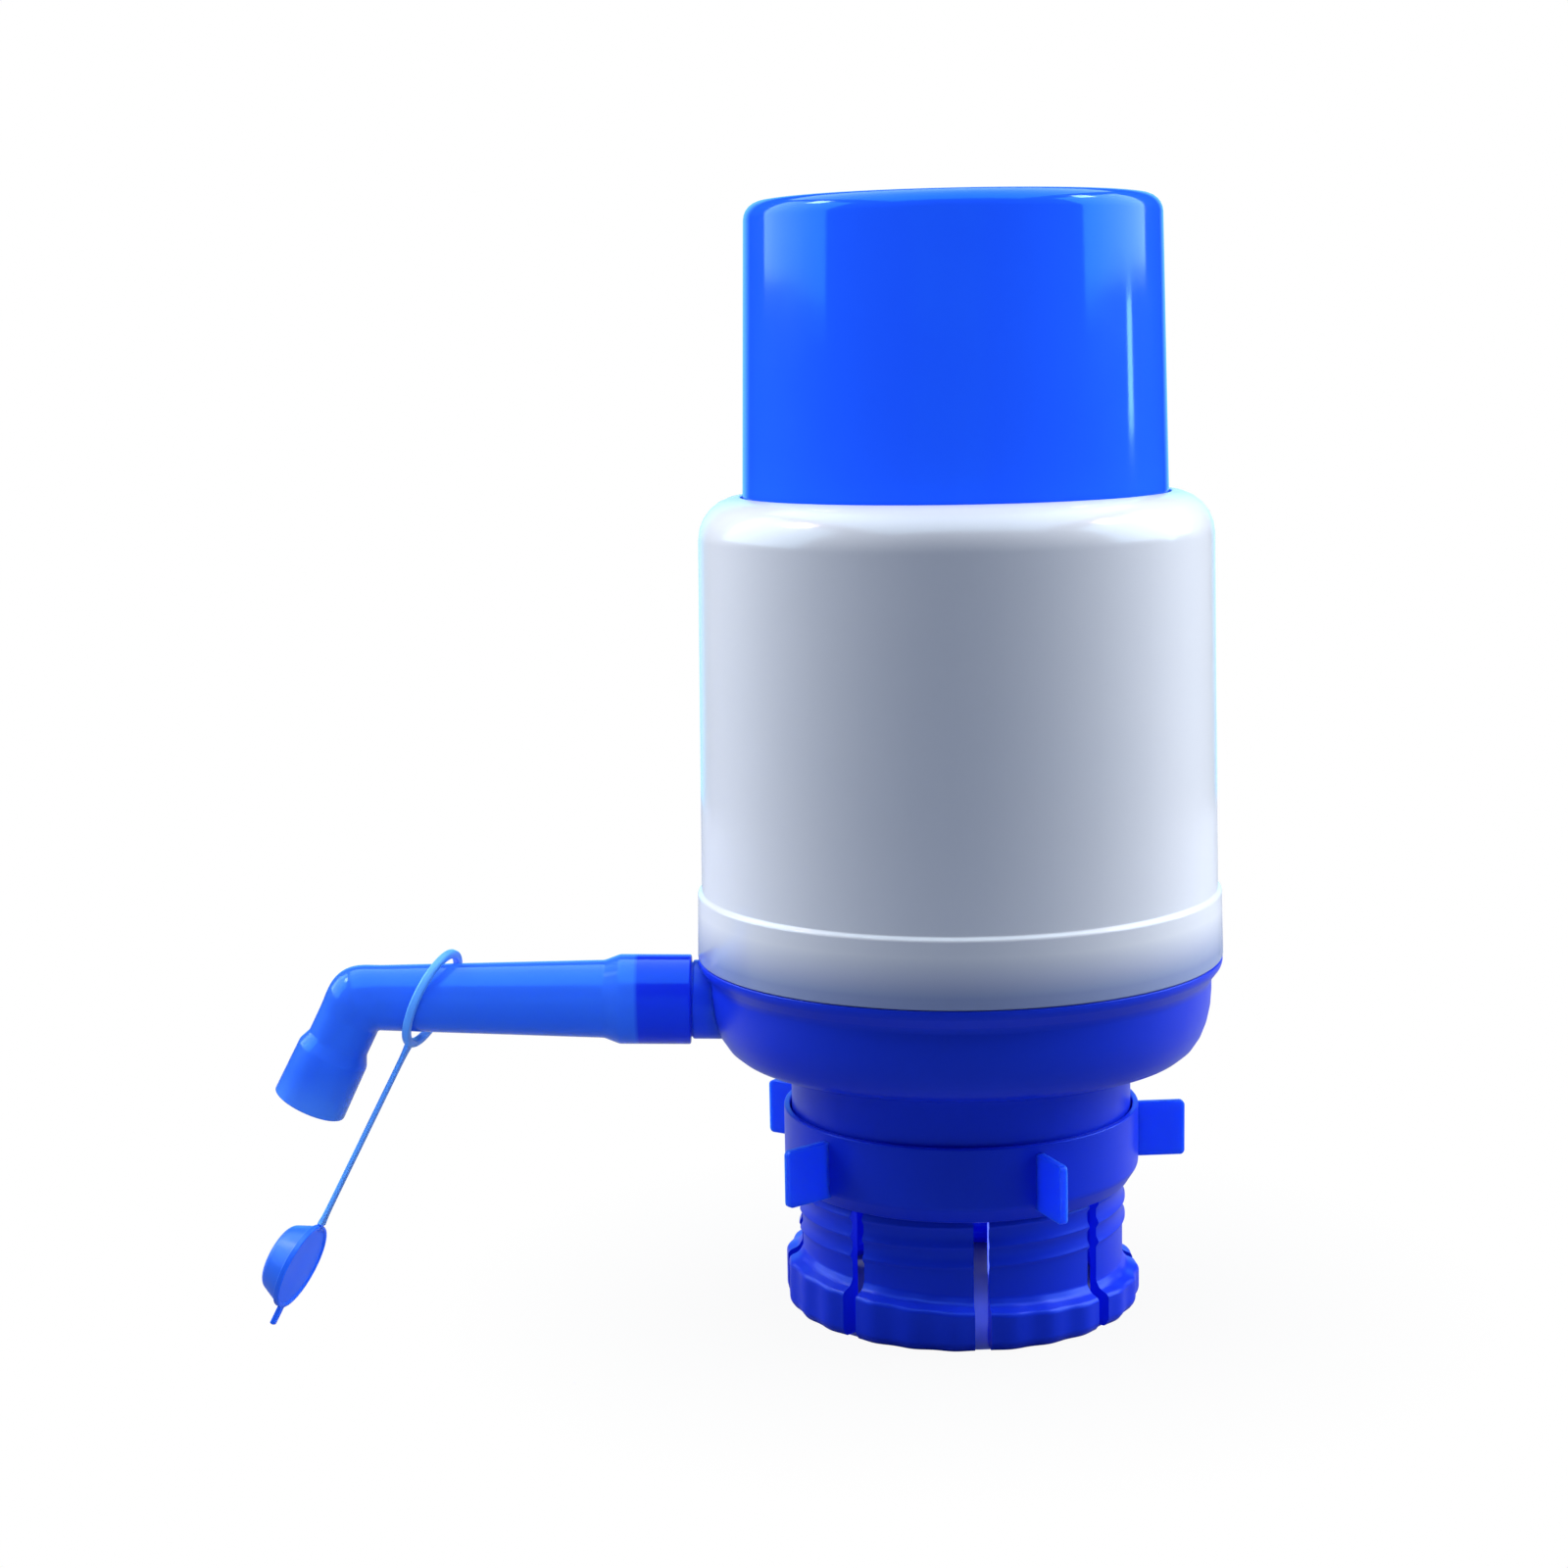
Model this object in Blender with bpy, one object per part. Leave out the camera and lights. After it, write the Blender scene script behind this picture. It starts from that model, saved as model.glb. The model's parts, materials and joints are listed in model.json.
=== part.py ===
"""Hand pump for a water jug: press cap, casing, pump base, claw collet, clamp ring, spout and dust cap.

The foot of the collet stands at height 0 and the spout points to -X. The lengths below are in metres.
"""

import math

import bmesh
import bpy
from mathutils import Matrix, Vector

MM = 0.001

# Gaps between pieces
seat_gap = 0.3 * MM
running_gap = 0.35 * MM
cap_slide_gap = 0.45 * MM
press_stop_gap = 1.8 * MM
cutter_overrun = 1.0 * MM
weld_depth = 0.4 * MM

# The jug neck that the collet grips
jug_neck_radius = 27.5 * MM
jug_neck_room = 1.1 * MM

# Collet: claws with a helical thread and a scalloped foot
collet_wall = 1.3 * MM
claw_count = 8
slot_width = 2.7 * MM
slot_room = 0.5 * MM
slot_turn = math.radians(2.9)
foot_width = 3.1 * MM
foot_height = 7.0 * MM
foot_slope = 3.2 * MM
foot_chamfer = 1.2 * MM
scallop_depth = 0.9 * MM
scallops_per_claw = 3
hook_depth = 0.8 * MM
hook_bottom = 1.2 * MM
hook_height = 2.4 * MM
thread_depth = 0.5 * MM
thread_pitch = 3.6 * MM
thread_width = 1.0 * MM
thread_turns = 3

# Clamp ring and its wings
ring_overlap = 1.0 * MM
ring_height = 14.0 * MM
ring_wall = 1.1 * MM
ring_chamfer = 0.8 * MM
wing_count = 5
wing_turn = math.radians(3.3)
wing_reach = 9.25 * MM
wing_height = 10.4 * MM
wing_lift = 2.0 * MM
wing_thickness = 1.5 * MM

# Pump base: bowl, neck skirt and spigot
skirt_wall = 1.2 * MM
skirt_overlap = 5.8 * MM
neck_height = 8.7 * MM
floor_thickness = 2.2 * MM
bowl_radius = 46.1 * MM
bowl_wall = 2.0 * MM
bowl_round_width = 6.8 * MM
bowl_round_height = 11.6 * MM
bowl_rise = 1.9 * MM
bowl_side_height = 2.3 * MM
lip_width = 2.0 * MM
lip_height = 1.1 * MM
lip_slope = 2.6 * MM
spigot_wall = 2.0 * MM
spigot_height = 10.0 * MM
ledge_width = 1.8 * MM
ledge_height = 1.8 * MM
air_hole_radius = 2.0 * MM
air_hole_circle = 14.0 * MM
air_hole_count = 4

# Casing
casing_height = 84.0 * MM
casing_overhang = 1.1 * MM
casing_draft = 0.95 * MM
casing_wall = 2.0 * MM
casing_round = 7.6 * MM
band_height = 12.2 * MM
band_step = 1.0 * MM
inner_corner = 3.0 * MM

# Press cap
cap_rise = 51.9 * MM
cap_draft_per_length = math.tan(math.radians(1.3))
cap_wall = 1.8 * MM
cap_round = 3.2 * MM
cap_flange_thickness = 2.4 * MM
press_stroke = 42.0 * MM
post_width = 2.2 * MM
post_height = 2.6 * MM
post_slot_width = 8.8 * MM

# Port of the base and the spout on it
port_drop = 8.55 * MM
port_rise = math.radians(1.4)
port_bore = 4.5 * MM
port_inner_end = 9.5 * MM
nipple_radius = 6.9 * MM
nipple_length = 13.5 * MM
collar_wall = 1.1 * MM
collar_length = 3.2 * MM
socket_gap = 0.25 * MM
socket_wall = 1.15 * MM
socket_length = 13.2 * MM
socket_shoulder = 2.9 * MM
tube_radius = 7.2 * MM
tube_end_radius = 6.05 * MM
tube_wall = 1.1 * MM
elbow_distance = 65.0 * MM
elbow_bend = math.radians(64.6)
elbow_inner_round = 0.8 * MM
elbow_bulge = 0.15 * MM
leg_radius = 5.8 * MM
sleeve_start = 9.4 * MM
sleeve_shoulder = 2.2 * MM
sleeve_radius = 6.75 * MM
mouth_radius = 6.95 * MM
mouth_distance = 22.4 * MM
mouth_wall = 1.1 * MM

# Leash: ring on the tube, strap and dust cap, all in one slanting plane
leash_setback = 13.4 * MM
leash_tilt = math.radians(25.3)
leash_lean = math.radians(-13.5)
leash_yaw = math.radians(-10.5)
leash_room = 2.35 * MM
leash_ring_width = 1.2 * MM
leash_thickness = 1.1 * MM
strap_width = 1.5 * MM
strap_thickness = 0.8 * MM
strap_length = 35.8 * MM
disc_overhang = 1.65 * MM
disc_thickness = 1.1 * MM
disc_rim_width = 1.0 * MM
disc_rim_height = 0.35 * MM
plug_room = 0.25 * MM
plug_length = 3.9 * MM
plug_wall = 1.0 * MM
tab_length = 3.4 * MM

# Water way inside the pump
dip_bore = 4.0 * MM
dip_wall = 2.0 * MM
dip_length = 30.0 * MM
dip_barb = 0.7 * MM
dip_barb_pitch = 3.0 * MM
dip_barb_count = 3
dip_flange_width = 3.0 * MM
dip_flange_thickness = 2.0 * MM
gasket_thickness = 3.0 * MM
gasket_width = 6.8 * MM
riser_wall = 1.6 * MM
riser_arm_wall = 1.9 * MM

# Air way inside the pump
plate_thickness = 2.5 * MM
plate_hole_radius = 1.5 * MM
plate_hole_circle = 5.2 * MM
plate_hole_count = 4
screw_count = 3
screw_radius = 1.5 * MM
screw_length = 14.5 * MM
screw_head_radius = 2.8 * MM
screw_head_height = 2.0 * MM
screw_boss_wall = 1.7 * MM
clamp_thickness = 2.5 * MM
clamp_room = 0.9 * MM
bellows_room = 2.25 * MM
bellows_depth = 5.6 * MM
bellows_wall = 1.2 * MM
bellows_folds = 7
bellows_foot_height = 2.0 * MM
bellows_collar_height = 6.0 * MM
bellows_collar_wall = 2.2 * MM
head_plate_rim = 1.8 * MM
head_plate_inset = 3.0 * MM
head_plate_thickness = 3.0 * MM
spring_room = 2.8 * MM
spring_wire = 0.9 * MM
spring_curls = 10
valve_radius = 8.5 * MM
valve_thickness = 1.0 * MM
valve_stem_radius = 1.7 * MM
valve_bulb_radius = 2.6 * MM
valve_bulb_height = 2.2 * MM

# How many flat faces stand for a round
shell_face_count = 40
bellows_face_count = 24
small_face_count = 20
hole_face_count = 10
arc_step_count = 4

# Places of the collet, the ring and the base, worked out from the sizes above
collet_bore = jug_neck_radius + jug_neck_room
collet_radius = collet_bore + collet_wall
foot_radius = collet_radius + foot_width
thread_radius = collet_radius + thread_depth
thread_start = foot_height + foot_slope
thread_end = thread_start + thread_pitch * (thread_turns + 1 / 2) + thread_width
slot_height = thread_end + slot_room
skirt_bore = collet_radius + seat_gap
skirt_radius = skirt_bore + skirt_wall
ring_bottom = slot_height - ring_overlap
ring_top = ring_bottom + ring_height
skirt_bottom = ring_top - skirt_overlap
neck_top = ring_top + neck_height
collet_top = neck_top - seat_gap
ring_bore_low = thread_radius + running_gap
ring_bore_high = skirt_radius + running_gap
ring_radius = ring_bore_high + ring_wall
floor_top = neck_top + floor_thickness
belly_height = neck_top + bowl_rise
lip_radius = bowl_radius + lip_width

# Places of the casing and what its spigot holds
bowl_round_top = belly_height + bowl_round_height
lip_bottom = bowl_round_top + bowl_side_height + lip_slope
lip_top = lip_bottom + lip_height
casing_bottom = lip_top + seat_gap
casing_top = casing_bottom + casing_height
casing_radius = bowl_radius + casing_overhang
band_radius = casing_radius + band_step
casing_bore = casing_radius - casing_wall
casing_top_radius = casing_radius - casing_draft
casing_opening = casing_top_radius - casing_round
spigot_radius = casing_bore - seat_gap
spigot_bore = spigot_radius - spigot_wall
ledge_top = lip_top + seat_gap
plate_radius = spigot_bore - seat_gap
plate_bottom = ledge_top + seat_gap
plate_top = plate_bottom + plate_thickness
bellows_bottom = plate_top + seat_gap
clamp_bottom = bellows_bottom + bellows_foot_height + seat_gap
clamp_top = clamp_bottom + clamp_thickness
screw_seat = clamp_top + seat_gap

# Places of the press cap and what moves with it
cap_top = casing_top + cap_rise
cap_top_radius = casing_opening - cap_slide_gap - cap_rise * cap_draft_per_length
cap_ceiling = cap_top - cap_wall
cap_skirt_bottom = screw_seat + screw_head_height + press_stroke + press_stop_gap
head_plate_top = cap_ceiling - post_height - seat_gap
head_plate_bottom = head_plate_top - head_plate_thickness
bellows_radius = cap_top_radius - cap_wall - bellows_room
head_plate_radius = bellows_radius - head_plate_inset
post_radius = head_plate_radius - head_plate_rim
post_inner = post_radius - post_width
bellows_top = head_plate_bottom - seat_gap
bellows_root = bellows_radius - bellows_depth
bellows_collar_bore = bellows_root - bellows_collar_wall
clamp_bore = bellows_radius + clamp_room
screw_circle = (clamp_bore + plate_radius) / 2
spring_radius = bellows_collar_bore - spring_room - spring_wire

# Places of the port, the water way and the leash
port_height = casing_bottom - port_drop
riser_arm_radius = dip_bore + riser_arm_wall
port_seat = riser_arm_radius + seat_gap
collar_radius = port_seat + collar_wall
riser_bottom = floor_top + seat_gap
riser_socket = dip_bore + dip_wall + seat_gap
riser_top = port_height - bowl_radius * math.sin(port_rise) + riser_arm_radius
leash_distance = elbow_distance - leash_setback
leash_ring_radius = tube_end_radius + leash_room + leash_ring_width
plug_radius = mouth_radius - mouth_wall - plug_room
disc_radius = mouth_radius + disc_overhang


def empty_scene():
    for thing in list(bpy.data.objects):
        bpy.data.objects.remove(thing, do_unlink=True)


def plastic(name, colour, roughness, metallic=0.0):
    made = bpy.data.materials.new(name)
    made.use_nodes = True
    shader = made.node_tree.nodes["Principled BSDF"]
    shader.inputs["Base Color"].default_value = (*colour, 1.0)
    shader.inputs["Roughness"].default_value = roughness
    shader.inputs["Metallic"].default_value = metallic
    return made


def put(name, mesh, parent, look):
    """Makes an object of a bmesh, under an empty."""
    made = bpy.data.meshes.new(name)
    mesh.to_mesh(made)
    mesh.free()
    made.shade_smooth()
    made.set_sharp_from_angle(angle=math.radians(35))
    thing = bpy.data.objects.new(name, made)
    bpy.context.scene.collection.objects.link(thing)
    thing.parent = parent
    if look:
        made.materials.append(look)
    return thing


def empty(name, parent, place):
    thing = bpy.data.objects.new(name, None)
    bpy.context.scene.collection.objects.link(thing)
    thing.parent = parent
    thing.matrix_local = place
    return thing


def boolean(thing, name, mesh, parent, operation):
    """Cuts or joins a helper mesh, kept out of the render."""
    helper = put(name, mesh, parent, None)
    helper.hide_render = True
    helper.display_type = "WIRE"
    step = thing.modifiers.new(name, "BOOLEAN")
    step.solver = "EXACT"
    step.operation = operation
    step.object = helper


def arc(centre_r, centre_z, radius_r, radius_z, start, end, steps=arc_step_count):
    """Points (r, z) on an ellipse, from one angle in degrees to another."""
    points = []
    for step in range(steps + 1):
        angle = math.radians(start + (end - start) * step / steps)
        points.append((centre_r + radius_r * math.cos(angle), centre_z + radius_z * math.sin(angle)))
    return points


def turned(profile, faces=shell_face_count):
    """Spins an (r, z) outline about Z. An outline that touches the axis starts and ends on it."""
    mesh = bmesh.new()
    corners = [mesh.verts.new((r, 0, z)) for r, z in profile]
    edges = [mesh.edges.new(pair) for pair in zip(corners, corners[1:])]
    if profile[0][0] > 0:
        edges.append(mesh.edges.new((corners[-1], corners[0])))
    bmesh.ops.spin(mesh, geom=corners + edges, cent=(0, 0, 0), axis=(0, 0, 1), angle=math.tau,
                   steps=faces, use_merge=True, use_duplicate=False)
    bmesh.ops.remove_doubles(mesh, verts=mesh.verts, dist=0.001 * MM)
    bmesh.ops.recalc_face_normals(mesh, faces=mesh.faces)
    return mesh


def lying(mesh):
    """Turns a piece made about Z to lie about X, its top towards +X."""
    bmesh.ops.rotate(mesh, verts=mesh.verts, matrix=Matrix.Rotation(math.pi / 2, 3, "Y"))
    return mesh


def rod(mesh, radius, start, end, faces=small_face_count):
    """Adds a round bar between two points to a bmesh."""
    start = Vector(start)
    run = Vector(end) - start
    place = Matrix.Translation(start + run / 2) @ run.to_track_quat("Z", "Y").to_matrix().to_4x4()
    bmesh.ops.create_cone(mesh, cap_ends=True, segments=faces, radius1=radius, radius2=radius,
                          depth=run.length, matrix=place)
    return mesh


def rods(mesh, places, radius, low, high, faces=hole_face_count):
    """Adds upright round bars at several (x, y) places to a bmesh."""
    for x, y in places:
        rod(mesh, radius, (x, y, low), (x, y, high), faces)
    return mesh


def block(mesh, low, high, place=None):
    """Adds a box between two corners to a bmesh."""
    low = Vector(low)
    high = Vector(high)
    size = Matrix.Diagonal((*(high - low), 1))
    middle = Matrix.Translation((low + high) / 2)
    bmesh.ops.create_cube(mesh, size=1, matrix=(place or Matrix()) @ middle @ size)
    return mesh


def around(count, radius, turn=0.0):
    """Points evenly round a circle."""
    angles = [turn + math.tau * step / count for step in range(count)]
    return [(radius * math.cos(angle), radius * math.sin(angle)) for angle in angles]


def skin(loops):
    """Joins loops of corners, and the last loop to the first."""
    mesh = bmesh.new()
    rings = [[mesh.verts.new(place) for place in loop] for loop in loops]
    for first, second in zip(rings, rings[1:] + rings[:1]):
        for step in range(len(first)):
            after = (step + 1) % len(first)
            mesh.faces.new((first[step], first[after], second[after], second[step]))
    bmesh.ops.recalc_face_normals(mesh, faces=mesh.faces)
    return mesh


def hoop(place, way, radius, faces=small_face_count):
    """Corners of a circle square to a direction that has no Y part."""
    side = Vector((0, 1, 0))
    up = way.cross(side).normalized()
    angles = [math.tau * step / faces for step in range(faces)]
    return [place + radius * (side * math.cos(angle) + up * math.sin(angle)) for angle in angles]


def cap_radius(height):
    return cap_top_radius + (cap_top - height) * cap_draft_per_length


# Shells


def press_cap(parent, look):
    flange_radius = casing_bore - casing_draft - cap_slide_gap - seat_gap
    flange_top = casing_top - casing_wall - seat_gap
    flange_corner = flange_top - inner_corner - seat_gap
    flange_bottom = flange_corner - cap_flange_thickness
    inner_round = cap_round - cap_wall
    outline = [(0, cap_top)]
    outline += arc(cap_top_radius - cap_round, cap_top - cap_round, cap_round, cap_round, 90, 0)
    outline += [
        (cap_radius(flange_top), flange_top),
        (flange_radius - inner_corner + seat_gap, flange_top),
        (flange_radius, flange_corner),
        (flange_radius, flange_bottom),
        (cap_radius(flange_bottom), flange_bottom),
        (cap_radius(cap_skirt_bottom), cap_skirt_bottom),
        (cap_radius(cap_skirt_bottom) - cap_wall, cap_skirt_bottom),
        (cap_radius(cap_ceiling - inner_round) - cap_wall, cap_ceiling - inner_round),
        (cap_radius(cap_ceiling) - cap_wall - inner_round, cap_ceiling),
        (post_radius, cap_ceiling),
        (post_radius, cap_ceiling - post_height),
        (post_inner, cap_ceiling - post_height),
        (post_inner, cap_ceiling),
        (0, cap_ceiling),
    ]
    cap = put("press_cap", turned(outline), parent, look)
    half = post_slot_width / 2
    slots = bmesh.new()
    for x, y in around(2, post_radius):
        low = (x - half, y - half, cap_ceiling - post_height - cutter_overrun)
        block(slots, low, (x + half, y + half, cap_ceiling - seat_gap))
    boolean(cap, "cap_vent_slots", slots, parent, "DIFFERENCE")


def casing(parent, look):
    band_top = casing_bottom + band_height
    ceiling = casing_top - casing_wall
    round_z = casing_top - casing_round
    outline = arc(casing_opening, round_z, casing_round, casing_round, 90, 0, 2 * arc_step_count)
    outline += [
        (casing_radius, band_top + band_step / 2),
        (band_radius, band_top - band_step / 2),
        (band_radius, casing_bottom),
        (casing_bore, casing_bottom),
        (casing_bore, band_top),
        (casing_top_radius - casing_wall, ceiling - inner_corner),
        (casing_top_radius - casing_wall - inner_corner, ceiling),
        (casing_opening, ceiling),
    ]
    put("casing", turned(outline), parent, look)


# Base with its neck skirt, port and screw bosses


def bowl_outline():
    round_r = bowl_radius - bowl_round_width
    inner_width = bowl_round_width - bowl_wall
    inner_height = bowl_round_height - bowl_wall
    outline = [(0, neck_top), (skirt_bore, neck_top), (skirt_bore, skirt_bottom)]
    outline += [(skirt_radius, skirt_bottom), (skirt_radius, neck_top)]
    outline += arc(round_r, bowl_round_top, bowl_round_width, bowl_round_height, -90, 0)
    outline += [
        (bowl_radius, lip_bottom - lip_slope),
        (lip_radius, lip_bottom),
        (lip_radius, lip_top),
        (spigot_radius, lip_top),
        (spigot_radius, lip_top + spigot_height),
        (spigot_bore, lip_top + spigot_height),
        (spigot_bore, ledge_top),
        (spigot_bore - ledge_width, ledge_top),
        (spigot_bore - ledge_width, ledge_top - ledge_height),
        (bowl_radius - bowl_wall, bowl_round_top),
    ]
    outline += arc(round_r, bowl_round_top, inner_width, inner_height, 0, -90)[1:]
    return outline + [(skirt_radius, floor_top), (0, floor_top)]


def port_body():
    outline = [
        (0, port_inner_end),
        (collar_radius, port_inner_end),
        (collar_radius, -collar_length),
        (nipple_radius, -collar_length),
        (nipple_radius, -nipple_length + socket_gap),
        (nipple_radius - socket_gap, -nipple_length),
        (0, -nipple_length),
    ]
    return lying(turned(outline, small_face_count))


def port_way():
    outline = [
        (0, port_inner_end + cutter_overrun),
        (port_seat, port_inner_end + cutter_overrun),
        (port_seat, -cutter_overrun),
        (port_bore, -cutter_overrun),
        (port_bore, -nipple_length - cutter_overrun),
        (0, -nipple_length - cutter_overrun),
    ]
    return lying(turned(outline, small_face_count))


def screw_places():
    return around(screw_count, screw_circle)


def base_holes():
    """The screws' pilot holes, the air holes through the floor and the hole for the dip tube's nipple."""
    low = neck_top - cutter_overrun
    high = floor_top + cutter_overrun
    pilot_bottom = screw_seat - screw_length - cutter_overrun
    mesh = bmesh.new()
    rods(mesh, screw_places(), screw_radius + seat_gap, pilot_bottom, ledge_top + cutter_overrun)
    air_holes = around(air_hole_count, air_hole_circle, math.pi / air_hole_count)
    rods(mesh, air_holes, air_hole_radius, low, high)
    return rod(mesh, riser_socket, (0, 0, low), (0, 0, high))


def pump_base(parent, port, look):
    base = put("pump_base", turned(bowl_outline()), parent, look)
    boss_bottom = belly_height + bowl_wall / 2
    bosses = bmesh.new()
    boss_radius = screw_radius + seat_gap + screw_boss_wall
    rods(bosses, screw_places(), boss_radius, boss_bottom, ledge_top - weld_depth)
    boolean(base, "port_body", port_body(), port, "UNION")
    boolean(base, "screw_bosses", bosses, parent, "UNION")
    boolean(base, "base_holes", base_holes(), parent, "DIFFERENCE")
    boolean(base, "port_way", port_way(), port, "DIFFERENCE")


# Collet and clamp ring


def claw_outline(turn, radius):
    """The inner and outer side of a claw at one angle. Its thread climbs with the angle."""
    climb = thread_pitch * turn / math.tau
    inner = [
        (collet_bore, slot_height),
        (collet_bore, hook_bottom + hook_height),
        (collet_bore - hook_depth, hook_bottom + hook_height / 2),
        (collet_bore - hook_depth, hook_bottom),
        (collet_bore, 0),
    ]
    outer = [
        (radius - scallop_depth, 0),
        (radius, foot_chamfer),
        (radius, foot_height),
        (collet_radius, thread_start),
    ]
    for step in range(thread_turns):
        middle = thread_start + thread_pitch * (step + 1 / 2) + climb
        outer.append((collet_radius, middle - thread_width))
        outer.append((thread_radius, middle))
        outer.append((collet_radius, middle + thread_width))
    outer.append((collet_radius, slot_height))
    return inner, outer


def claw_columns():
    """(inner corners, outer corners) at each step round the axis, and whether a slot follows the step."""
    half_slot = math.asin(slot_width / 2 / collet_radius)
    span = math.tau / claw_count - 2 * half_slot
    steps = 2 * scallops_per_claw
    columns = []
    for claw in range(claw_count):
        for step in range(steps + 1):
            turn = math.tau * claw / claw_count + half_slot + span * step / steps
            radius = foot_radius if step % 2 else foot_radius - scallop_depth
            inner, outer = claw_outline(turn, radius)
            angle = turn + slot_turn
            way = (math.cos(angle), math.sin(angle))
            columns.append((way, inner, outer, step == steps))
    return columns


def collet(parent, look):
    """Skins the columns all the way round above the slots, and claw by claw below them."""
    mesh = bmesh.new()
    upper = [(collet_radius, collet_top), (collet_bore, collet_top)]
    rings = []
    for (x, y), inner, outer, slot_next in claw_columns():
        corners = [mesh.verts.new((r * x, r * y, z)) for r, z in inner + outer + upper]
        rings.append((corners, slot_next))
    above = len(corners) - len(upper) - 1
    for place, (corners, slot_next) in enumerate(rings):
        following = rings[(place + 1) % len(rings)][0]
        first = above if slot_next else 0
        for step in range(first, len(corners)):
            after = (step + 1) % len(corners)
            mesh.faces.new((corners[step], corners[after], following[after], following[step]))
        if slot_next:
            mesh.faces.new((corners[0], corners[above], following[above], following[0]))
        if slot_next or rings[place - 1][1]:
            mesh.faces.new(corners[:above + 1])
    bmesh.ops.recalc_face_normals(mesh, faces=mesh.faces)
    bmesh.ops.triangulate(mesh, faces=[face for face in mesh.faces if len(face.verts) > 4])
    put("collet", mesh, parent, look)


def clamp_ring(parent, look):
    step_z = skirt_bottom - ring_chamfer
    outline = [
        (ring_radius, ring_top),
        (ring_radius, ring_bottom + ring_chamfer),
        (ring_radius - ring_chamfer, ring_bottom),
        (ring_bore_low, ring_bottom),
        (ring_bore_low, step_z),
        (ring_bore_high, step_z),
        (ring_bore_high, ring_top),
    ]
    ring = put("clamp_ring", turned(outline), parent, look)
    half = wing_thickness / 2
    low = (ring_radius - weld_depth, -half, ring_bottom + wing_lift)
    high = (ring_radius + wing_reach, half, ring_bottom + wing_lift + wing_height)
    wings = bmesh.new()
    for step in range(wing_count):
        block(wings, low, high, Matrix.Rotation(wing_turn + math.tau * step / wing_count, 4, "Z"))
    boolean(ring, "ring_wings", wings, parent, "UNION")


# Water way


def ring_outline(outer, inner, bottom, top):
    return [(outer, top), (outer, bottom), (inner, bottom), (inner, top)]


def dip_tube_nipple(parent, look):
    """A hose nipple whose flange seats under the base's floor."""
    outer = dip_bore + dip_wall
    top = floor_top + floor_thickness
    flange_top = neck_top - seat_gap
    flange_bottom = flange_top - dip_flange_thickness
    bottom = neck_top - dip_length
    outline = [(outer, top), (outer, flange_top), (outer + dip_flange_width, flange_top)]
    outline += [(outer + dip_flange_width, flange_bottom), (outer, flange_bottom)]
    for step in range(dip_barb_count, 0, -1):
        barb_top = bottom + dip_barb_pitch * step
        outline += [(outer, barb_top), (outer + dip_barb, barb_top - dip_barb)]
    outline += [(outer - dip_barb / 2, bottom), (dip_bore, bottom), (dip_bore, top)]
    put("dip_tube_nipple", turned(outline, small_face_count), parent, look)


def riser_elbow(parent, port, look):
    """Leads the water from the nipple up and sideways into the port."""
    inward = bowl_radius
    shell = rod(bmesh.new(), riser_socket + riser_wall, (0, 0, riser_bottom), (0, 0, riser_top))
    elbow = put("riser_elbow", shell, parent, look)
    arm = rod(bmesh.new(), riser_arm_radius, (seat_gap, 0, 0), (inward - riser_socket, 0, 0))
    boolean(elbow, "riser_arm", arm, port, "UNION")
    socket_top = riser_bottom + floor_thickness + cutter_overrun
    socket = rod(bmesh.new(), riser_socket, (0, 0, riser_bottom - cutter_overrun), (0, 0, socket_top))
    boolean(elbow, "riser_socket", socket, parent, "DIFFERENCE")
    rise = rod(bmesh.new(), dip_bore, (0, 0, riser_bottom), (0, 0, riser_top - riser_wall))
    boolean(elbow, "riser_way", rise, parent, "DIFFERENCE")
    side = rod(bmesh.new(), dip_bore, (-cutter_overrun, 0, 0), (inward, 0, 0))
    boolean(elbow, "riser_arm_way", side, port, "DIFFERENCE")


# Air way: two plates with umbrella valves, the bellows between them and its spring


def plate(name, radius, bottom, top, parent, look, screws):
    """A round plate with a ring of small holes about the hole for its valve's stem."""
    disc = put(name, rod(bmesh.new(), radius, (0, 0, bottom), (0, 0, top), shell_face_count), parent, look)
    low = bottom - cutter_overrun
    high = top + cutter_overrun
    holes = rods(bmesh.new(), [(0, 0)], valve_stem_radius + seat_gap, low, high)
    rods(holes, around(plate_hole_count, plate_hole_circle), plate_hole_radius, low, high)
    rods(holes, screws, screw_radius + seat_gap, low, high)
    boolean(disc, name + "_holes", holes, parent, "DIFFERENCE")


def umbrella_valve(name, plate_low, plate_high, parent, look):
    """A rubber disc under a plate, held by a bulb on the stem that passes through it."""
    top = plate_low - seat_gap
    bulb = plate_high + seat_gap
    outline = [
        (0, top - 2 * valve_thickness),
        (valve_radius / 2, top - 2 * valve_thickness),
        (valve_radius, top - valve_thickness / 2),
        (valve_radius, top),
        (valve_stem_radius, top),
        (valve_stem_radius, bulb),
        (valve_bulb_radius, bulb),
        (valve_stem_radius, bulb + valve_bulb_height),
        (0, bulb + valve_bulb_height),
    ]
    put(name, turned(outline, small_face_count), parent, look)


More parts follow.
